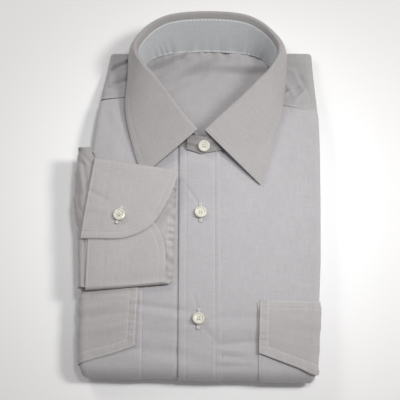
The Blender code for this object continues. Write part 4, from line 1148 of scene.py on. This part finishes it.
# %% Shape the cuff
def make_cuff():
    stations = cuff_stations()
    shares = [1 - (1 - s) ** 1.15 for s in spread(0, 1, 1 / 52)]
    grids = ([], [])
    for g, layer, angle, wrist in stations:
        rows = ([], [])
        for share in shares:
            seam = cuff_seam_x(g) - (7.0 * (1 - g) / (1 - LAP_END) if layer == "upper" else 0.0)
            x = seam + share * (wrist - seam)
            half = CUFF_WALL / 2
            lower = CUFF_WALL + read(CUFF_ROOM, "room", x - CUFF_SEAM_X, "from_seam") + half
            upper = lower + CUFF_WALL + SEAM_GAP
            low_r, top_r = (lower - half) / 2, (upper - half) / 2
            y_low, y_top = -89.8 + 0.075 * (x - CUFF_SEAM_X), 37.5 - 0.16 * (x + 100.6)
            start, stop = y_low + low_r, y_top - top_r
            y = start + g * (stop - start)
            for k, offset in enumerate((half, -half)):
                spot_y = y
                if layer == "bottom":
                    spot_y = y - (low_r + offset) * math.sin(angle)
                    rise = half + low_r + (low_r + offset) * math.cos(angle)
                elif layer == "top":
                    spot_y = y + (top_r + offset) * math.sin(angle)
                    rise = half + top_r - (top_r + offset) * math.cos(angle)
                else:
                    middle = {"lower": lower, "under": half, "upper": upper}[layer]
                    rise = middle + (-offset if layer == "under" else offset)
                    if layer == "lower":
                        rise -= 1.5 * share * ease(12, 1, y - start) * (1 - 0.3 * ease(2, 0, y - start))
                rows[k].append((x, spot_y, cuff_floor(x, spot_y) + rise))
        grids[0].append(rows[0])
        grids[1].append(rows[1])
    outer, inner = np.array(grids[0]), np.array(grids[1])
    layers = np.array([{"lower": 0, "bottom": 0, "under": 1, "top": 2, "upper": 2}[s[1]] for s in stations])
    gap, run = np.zeros(outer.shape[:2]), np.zeros(outer.shape[:2])
    for part in (0, 1, 2):
        own = layers == part
        rim = list(outer[own][:, -1])
        rim = list(outer[0]) + rim if part == 0 else rim + list(outer[-1, ::-1]) if part == 2 else rim
        gap[own], run[own] = from_edges(outer[own], rim)
    outward = outer - inner
    outward = outward / np.linalg.norm(outward, axis=2, keepdims=True)
    seam_gap = outer[..., 0] - outer[:, :1, 0]
    h = groove(gap, 6.0, 0.2, 0.9) + pucker(run * 1.1, gap - 6.0, 0.09, 3.0)
    h = h + groove(seam_gap, 16.0, 0.4, 0.9) + groove(seam_gap, 1.6, 0.25, 0.7)
    under = np.array([1.0 if s[1] == "under" else 0.0 for s in stations])[:, None]
    h += pucker(run * 0.85, gap - 3.0, 1.5, 3.4) * under
    upper = np.array([1.0 if s[1] in ("upper", "lower") else 0.0 for s in stations])[:, None]
    h += relief(CUFF_CREASES, outer[..., 0], outer[..., 1]) * upper + soft_edge(gap, 1.6, 0.45)
    outer = outer + outward * h[..., None]
    inner = inner + outward * (h * np.where(under > 0, 1.0, 0.6))[..., None]
    steps = [float(np.linalg.norm(outer[k + 1, 20] - outer[k, 20])) for k in range(len(outer) - 1)]
    lengths = np.cumsum([0] + steps)
    flat = np.stack([outer[..., 0], np.ones(len(shares))[None, :] * lengths[:, None]], axis=2)
    row_gap = np.minimum(gap, seam_gap + 4.5)
    row_run = np.where(gap < seam_gap + 4.5, run, outer[..., 1])
    return shell("cuff_cloth", outer, inner, flat, CUFF_LOOK, edge=row_gap, run=row_run)


cuff = make_cuff()
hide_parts("cuff")

# %% [markdown]
# ## The sleeve end
# The sleeve comes from inside the bundle, rolls over the side edge and is pleated into the
# cuff. A simulated tube would fold where it likes. Here it is a sheet laid in three parts: the
# arm that leaves the cuff, the turn round the side edge, and the tuck between the layers. Pleats
# are pressed folds, so they run across the turn and flatten where the cloth is tucked in.

# %% Sleeve tables
SLEEVE = columns("y bulge", [
    (-88, 3.2), (-60, 4.6), (-32, 6.4), (-15, 9.5), (0, 11.2), (25, 10.4), (50, 8.0),
])
SLEEVE_WALL = 2.0
SLEEVE_RISE = 1.8      # how far it stands up once it is out of the cuff
TUCK = (-98.0, 9.1)    # X and Z of the end between the layers
SLEEVE_TURN_X = -108.3
PLEATS = [          # centre, height, width
    (40, 1.2, 3.2), (33, -1.5, 3.0), (24, 1.2, 4.0), (12, -0.9, 3.5), (2, -1.6, 4.5), (-8, 0.9, 4.0),
    (-20, 1.0, 5.0), (-31, -1.1, 3.5), (-44, -0.8, 5.0), (-56, 0.8, 4.5), (-66, -0.7, 4.0), (-77, 0.7, 4.0),
]
SLEEVE_CREASES = [(-110.9, 40.0, -103.8, 31.6, -0.8, 1.6), (-114.0, 41.0, -107.0, 32.0, 0.6, 2.0),
                  (-115.3, 33.6, -110.5, 8.0, 1.0, 1.7), (-111.0, 30.0, -107.5, 8.0, -1.2, 1.6),
                  (-117.7, -2.2, -107.6, -17.3, 0.9, 1.6), (-115.0, -6.0, -106.5, -22.0, -1.1, 1.6),
                  (-113.2, -38.0, -109.0, -85.0, 0.8, 1.5), (-109.0, -36.0, -106.5, -80.0, -1.1, 1.5),
                  (-117.0, 20.0, -114.5, -8.0, -0.7, 1.4)]


def pleat(y, drift):
    """Height of the pleats at Y; they drift a little as they go round the turn."""
    return sum(tall * math.exp(-((y - centre - drift) / wide) ** 2) for centre, tall, wide in PLEATS)


print("sleeve has", len(PLEATS), "pleats and", len(SLEEVE_CREASES), "creases")


# %% Shape the sleeve
def make_sleeve():
    stations = [("arm", k / 10) for k in range(11)] + [("turn", k / 26) for k in range(1, 26)]
    stations += [("tuck", k / 6) for k in range(7)]
    middle, weave = [], []
    for share in spread(0, 1, 1 / 84):
        row, marks = [], []
        for index, (part, place) in enumerate(stations):
            flare = ease(0.2, 0.8, place) if part == "arm" else 1.0
            low, high = -87.2 - 0.8 * flare, 32.5 + 17.0 * flare
            y = low + share * (high - low)
            bulge = read(SLEEVE, "bulge", y, "y")
            mouth = cuff_seam_x(min(1.0, max(0.0, (y + 90) / 128))) + 4.0
            top = cuff_floor(-104, y) + CUFF_WALL + SEAM_GAP + SLEEVE_WALL / 2 + SLEEVE_RISE
            half = (top - TUCK[1]) / 2
            fold = 0.45 * pleat(y, 5.0 * (place if part == "turn" else 0.0))
            rim = min(1.0, share / 0.05, (1 - share) / 0.05)
            slim = half * (0.15 + 0.85 * math.sqrt(rim * (2 - rim)))
            if part == "arm":
                x = mouth + place * (SLEEVE_TURN_X - mouth)
                out = ease(mouth - 3.4, mouth - 5.2, x)
                z = cuff_floor(x, y) + CUFF_WALL + SEAM_GAP + SLEEVE_WALL / 2 + SLEEVE_RISE * out
                z = z * (1 - place) + top * place + 0.5 * fold * ease(0.55, 1.0, place)
            elif part == "turn":
                angle = math.pi * place
                swell = bulge + fold * math.sin(angle)
                x = SLEEVE_TURN_X - swell * math.sin(angle)
                z = top - slim + (slim + 0.5 * fold * max(0.0, math.cos(angle))) * math.cos(angle)
            else:
                x = SLEEVE_TURN_X + place * (TUCK[0] - SLEEVE_TURN_X)
                z = TUCK[1] + (top - 2 * slim - TUCK[1]) * (1 - ease(0, 1, place))
            row.append((x, y, z))
            marks.append((index * 1.2, y))
        middle.append(row)
        weave.append(marks)
    middle = np.array(middle)
    normal = grid_normals(middle)
    up = normal[..., 2:] * (1 if normal[len(middle) // 2, 3, 2] > 0 else -1)
    creases = relief(SLEEVE_CREASES, middle[..., 0], middle[..., 1], 1.1) * ease(0.0, 0.3, up[..., 0])
    middle = middle + normal * np.sign(up) * creases[..., None]
    outer = middle + normal * SLEEVE_WALL / 2
    inner = middle - normal * SLEEVE_WALL / 2
    return shell("sleeve_cloth", outer, inner, np.array(weave), SLEEVE_LOOK)


sleeve = make_sleeve()
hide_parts("sleeve")

# %% [markdown]
# ## The layers inside
# Between the upper strip and the tail lie the back, the sides and the other sleeve. Nobody sees
# more of them than their folded edges at the sides and back. They could all be modelled as real
# garment parts, which nobody would see, so each is one flattened loop of cloth whose sides
# wander a little, as hand-folded edges do.

# %% Stack the inner layers
def loop_layer(y0, y1, z0, z1, inset, wander):
    """One flattened loop of cloth: points of its cross-sections from y0 to y1."""
    rows = []
    for y in spread(y0, y1, 3.0):
        section = []
        radius = max(0.35, (z1 - z0) / 2)
        middle = (z1 + z0) / 2
        ends = 1 - 0.9 * (1 - ease(0, 6, y - y0)) - 0.9 * (1 - ease(0, 6, y1 - y))
        radius *= max(0.15, ends)
        for side in (1, -1):
            room = inset + wander * math.sin(y / 23.0 + side * 1.7) + 0.6 * wander * math.sin(y / 9.0 + side)
            if side < 0:
                room += 15.0 * ease(-97, -92, y) * (1 - ease(55, 60, y))
            edge = side * (half_width(side, -y) - room) - side * radius
            for k in range(13):
                angle = math.pi * k / 12
                x, z = edge + side * radius * math.sin(angle), middle + side * radius * math.cos(angle)
                section.append((x, y, z))
        rows.append(section)
    return np.array(rows)


def make_inner_layers():
    parts = [
        loop_layer(-158, 90, 7.2, 8.9, 3.6, 0.8),
        loop_layer(-158, 93, 9.0, 10.9, 5.4, 1.0),
        loop_layer(-156, 84, 1.2, 5.6, 4.6, 0.3),
        loop_layer(-156, 88, 5.7, 7.1, 2.6, 0.9),
    ]
    points, all_faces, flat = [], [], []
    for part in parts:
        rows, cols = part.shape[:2]
        faces = []
        for i in range(rows - 1):
            for j in range(cols):
                n = (j + 1) % cols
                faces.append((i * cols + j, i * cols + n, (i + 1) * cols + n, (i + 1) * cols + j))
        faces += [tuple(range(cols))[::-1], tuple((rows - 1) * cols + j for j in range(cols))]
        start = len(points)
        points += ((part.reshape(-1, 3) + SHIFT) * MM).tolist()
        flat += (part.reshape(-1, 3)[:, :2] / 10).tolist()
        all_faces += [tuple(start + k for k in face) for face in faces]
    mesh = bpy.data.meshes.new("inner_layers")
    mesh.from_pydata(points, [], all_faces)
    layer = mesh.uv_layers.new(name="cloth")
    corner = np.zeros(len(mesh.loops), int)
    mesh.loops.foreach_get("vertex_index", corner)
    layer.data.foreach_set("uv", np.array(flat)[corner].ravel())
    mesh.shade_smooth()
    mesh.set_sharp_from_angle(angle=math.radians(60))
    mesh.materials.append(INNER_LOOK)
    piece = bpy.data.objects.new("inner_layers", mesh)
    bpy.context.scene.collection.objects.link(piece)
    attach(piece, "root")
    return piece


inner_layers = make_inner_layers()
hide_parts("folded_layers")
print("inner layers:", len(inner_layers.data.polygons), "faces")

# %% [markdown]
# ## The buttons
# Shirt buttons are cast in a pearly resin: cream, slightly cloudy and glossy. Their solids have
# the rim, the dish and the four holes already, so they are kept and only get a material. Clouds
# of noise drive the colour, and a thin clear coat gives the gloss. The thread's look is made here
# as well, pale and a little hairy.

# %% Pearly resin and thread
def resin_look():
    look = bpy.data.materials.new("button_pearl")
    look.use_nodes = True
    tree = look.node_tree
    shader = tree.nodes["Principled BSDF"]
    shader.inputs["Roughness"].default_value = 0.22
    shader.inputs["Coat Weight"].default_value = 0.4
    shader.inputs["Coat Roughness"].default_value = 0.08
    shader.inputs["Subsurface Weight"].default_value = 0.15
    shader.inputs["Subsurface Radius"].default_value = (0.002, 0.0016, 0.001)
    place = node(tree, "ShaderNodeTexCoord").outputs["Object"]
    cloudy = {"Vector": place, "Scale": 240.0, "Detail": 4.0, "Distortion": 1.2}
    clouds = node(tree, "ShaderNodeTexNoise", cloudy).outputs[0]
    colours = node(tree, "ShaderNodeValToRGB", {0: clouds})
    colours.color_ramp.elements[0].color = (0.60, 0.58, 0.47, 1)
    colours.color_ramp.elements[0].position = 0.3
    colours.color_ramp.elements[1].color = (0.82, 0.80, 0.72, 1)
    colours.color_ramp.elements[1].position = 0.72
    bump = node(tree, "ShaderNodeBump", {"Strength": 0.15, "Distance": 0.0002, "Height": clouds})
    tree.links.new(colours.outputs[0], shader.inputs["Base Color"])
    tree.links.new(bump.outputs[0], shader.inputs["Normal"])
    return look


def thread_look():
    look = bpy.data.materials.new("buttonhole_thread")
    look.use_nodes = True
    tree = look.node_tree
    shader = tree.nodes["Principled BSDF"]
    shader.inputs["Roughness"].default_value = 0.6
    shader.inputs["Sheen Weight"].default_value = 0.3
    place = node(tree, "ShaderNodeTexCoord").outputs["Object"]
    strands = node(tree, "ShaderNodeTexNoise", {"Vector": place, "Scale": 900.0, "Detail": 2.0}).outputs[0]
    colours = node(tree, "ShaderNodeValToRGB", {0: strands})
    colours.color_ramp.elements[0].color = (0.58, 0.56, 0.52, 1)
    colours.color_ramp.elements[1].color = (0.84, 0.82, 0.78, 1)
    tree.links.new(colours.outputs[0], shader.inputs["Base Color"])
    return look


PEARL = resin_look()
THREAD = thread_look()
BUTTONS = ("button_collar", "button_chest", "button_lower", "button_cuff")
for name in BUTTONS:
    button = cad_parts[name]
    button.data.materials.clear()
    button.data.materials.append(PEARL)
print("buttons in pearl:", len(BUTTONS))

# %% [markdown]
# ## Threads and buttonholes
# Each button is held by two bars of thread through its four holes. Each buttonhole is a slit
# between two rows of pale satin stitches, which shows above and below the button. A bump pattern
# would look flat this close to the gloss, so every stitch is a short arched tube, and all of
# them are joined into two meshes.

# %% Helpers for thread
def tube(start, end, radius, arch, sides=6, steps=6):
    """Points and faces of a short thread that arches between two points."""
    start, end, arch = Vector(start), Vector(end), Vector(arch)
    along = (end - start).normalized()
    side = along.cross(arch).normalized()
    points, faces = [], []
    for k in range(steps + 1):
        share = k / steps
        centre = start + (end - start) * share + arch * math.sin(math.pi * share)
        up = side.cross(along)
        for n in range(sides):
            angle = 2 * math.pi * n / sides
            points.append(tuple(centre + side * radius * math.cos(angle) + up * radius * math.sin(angle)))
    for k in range(steps):
        for n in range(sides):
            m = (n + 1) % sides
            faces.append((k * sides + n, k * sides + m, (k + 1) * sides + m, (k + 1) * sides + n))
    faces += [tuple(range(sides))[::-1], tuple(steps * sides + n for n in range(sides))]
    return points, faces


def joined(name, parts, look):
    points, faces = [], []
    for some_points, some_faces in parts:
        start = len(points)
        points += [tuple((np.array(p) + SHIFT) * MM) for p in some_points]
        faces += [tuple(start + k for k in face) for face in some_faces]
    mesh = bpy.data.meshes.new(name)
    mesh.from_pydata(points, [], faces)
    mesh.shade_smooth()
    mesh.materials.append(look)
    piece = bpy.data.objects.new(name, mesh)
    bpy.context.scene.collection.objects.link(piece)
    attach(piece, "root")
    return piece


def button_place(name):
    """Middle of a button's face, its outward direction and its up direction, in millimetres."""
    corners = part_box(name)
    middle = (np.array(corners[0]) + np.array(corners[1])) / 2 / MM - SHIFT
    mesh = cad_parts[name].data
    normal = Vector((0, 0, 0))
    for face in mesh.polygons:
        if face.normal.z > 0.5 and face.area > 0:
            normal += face.normal * face.area
    normal.normalize()
    up = (Vector((0, 1, 0)) - normal * normal.y).normalized()
    return Vector(middle), normal, up


chest_middle = button_place("button_chest")[0]
print("chest button's middle in mm:", [round(v, 1) for v in chest_middle])

# %% Thread bars
BAR_X = 1.06           # half the distance between the holes
threads = []
for name in BUTTONS:
    middle, normal, up = button_place(name)
    across = up.cross(normal)
    face = middle + normal * 0.65
    for s in (-1, 1):
        for shift in (-0.32, 0.0, 0.32):
            start = face + across * (BAR_X * s + shift) - up * BAR_X
            end = face + across * (BAR_X * s + shift) + up * BAR_X
            threads.append(tube(start, end, 0.2, normal * 0.45))
button_threads = joined("button_threads", threads, THREAD)
print("thread bars:", len(threads))

# %% Satin stitches
STITCHES = 44          # along each side of a buttonhole
HOLES = (              # button, shift along the slit, half length, tilt
    ("button_chest", 0.0, 8.6, 0.0),
    ("button_lower", 0.0, 8.8, 0.05),
    ("button_cuff", 0.4, 8.4, 0.28),
)
satin = []
for name, slide, reach, tilt in HOLES:
    middle, normal, up = button_place(name)
    along = (up + up.cross(normal) * tilt).normalized()
    across = along.cross(normal)
    floor = middle - normal * 1.35
    for k in range(STITCHES):
        place = -reach + 2 * reach * k / (STITCHES - 1)
        for s in (-1, 1):
            near = floor + along * (place + slide) + across * s * 0.15
            wide = 1.25 + 0.12 * math.sin(k * 1.7)
            far = floor + along * (place + slide + 0.1 * math.sin(k * 2.3)) + across * s * wide
            satin.append(tube(near, far, 0.24, normal * 0.3, 5, 3))
    for s in (-1, 1):
        for k in range(5):
            off = (k - 2) * 0.42
            start = floor + along * (s * (reach + 0.2) + slide) + across * (off - 0.5)
            satin.append(tube(start, start + across * 1.0 + along * s * 0.4, 0.24, normal * 0.35, 5, 3))
buttonholes = joined("buttonhole_stitches", satin, THREAD)
print("satin stitches:", len(satin))

# %% [markdown]
# ## Tell the frame what is cloth

# %% [markdown]
# ## A pale table
# The shirt lies on a plain pale table, far larger than the view so that no edge of it shows. It
# is stage and not a piece.

# %% Table
def make_table():
    mesh = bpy.data.meshes.new("table")
    mesh.from_pydata([(-3, -3, 0), (3, -3, 0), (3, 3, 0), (-3, 3, 0)], [], [(0, 1, 2, 3)])
    look = bpy.data.materials.new("pale_table")
    look.use_nodes = True
    shader = look.node_tree.nodes["Principled BSDF"]
    shader.inputs["Base Color"].default_value = (0.95, 0.95, 0.95, 1)
    shader.inputs["Roughness"].default_value = 0.9
    mesh.materials.append(look)
    piece = bpy.data.objects.new("table", mesh)
    piece.location.z = -0.0002
    bpy.context.scene.collection.objects.link(piece)
    return piece


table = make_table()
print("table is", round(table.dimensions.x), "m wide")

# %% [markdown]
# ## Soft light
# The photograph's light is soft and comes from the right and from the collar's side, and the
# chest is its brightest part. A large disk lamp makes the key, a weaker one fills the collar's
# side, a soft spot lifts the chest, and a faint warm world fills the shadows. One sun lamp would
# be simpler, but its hard shadows would show every crease too strongly.

# %% Lights
def make_light(name, place, size, power, colour=(1, 1, 1)):
    lamp = bpy.data.lights.new(name, "AREA")
    lamp.shape = "DISK"
    lamp.size = size
    lamp.energy = power
    lamp.color = colour
    holder = bpy.data.objects.new(name, lamp)
    holder.location = place
    holder.rotation_euler = (Vector((0, 0, 0)) - Vector(place)).to_track_quat("-Z", "Y").to_euler()
    bpy.context.scene.collection.objects.link(holder)


WARM_WHITE = (1.0, 0.99, 0.98)
make_light("key_light", (0.95, 0.12, 1.05), 0.35, 9.5, WARM_WHITE)
make_light("fill_light", (-0.75, 0.75, 0.75), 0.4, 3.8, WARM_WHITE)
spot = bpy.data.lights.new("chest_light", "SPOT")
spot.energy = 25.0
spot.color = (0.98, 0.99, 1.0)
spot.spot_size = math.radians(26)
spot.spot_blend = 1.0
spot.shadow_soft_size = 0.12
spot_holder = bpy.data.objects.new("chest_light", spot)
spot_holder.location = (0.26, 0.10, 1.12)
SPOT_AIM = Vector((0.03, -0.01, 0.02))
spot_holder.rotation_euler = (SPOT_AIM - spot_holder.location).to_track_quat("-Z", "Y").to_euler()
bpy.context.scene.collection.objects.link(spot_holder)
world = bpy.data.worlds.new("studio")
world.use_nodes = True
world.node_tree.nodes["Background"].inputs[0].default_value = (1.0, 0.972, 0.962, 1)
world.node_tree.nodes["Background"].inputs[1].default_value = 0.26
bpy.context.scene.world = world
bpy.context.scene.view_settings.view_transform = "Standard"
print("lamps:", len(bpy.data.lights))

# %% [markdown]
# ## The camera
# The photograph was taken from above and a little from the front. The camera stands at that
# angle, 70 degrees above the table and a metre away, and its lens is set so that the shirt fills
# the frame as it does there.

# %% Camera
AIM = (np.array([0.0, 0.0, 20.0]) + SHIFT) * MM
ELEVATION = math.radians(70)
camera_data = bpy.data.cameras.new("camera")
camera_data.lens = 94.2
camera_data.sensor_width = 36.0
camera = bpy.data.objects.new("camera", camera_data)
camera.location = Vector(AIM) + Vector((0, -math.cos(ELEVATION), math.sin(ELEVATION)))
camera.rotation_euler = (math.pi / 2 - ELEVATION, 0, 0)
bpy.context.scene.collection.objects.link(camera)
bpy.context.scene.camera = camera
print("camera height in m:", round(camera.location.z, 3))
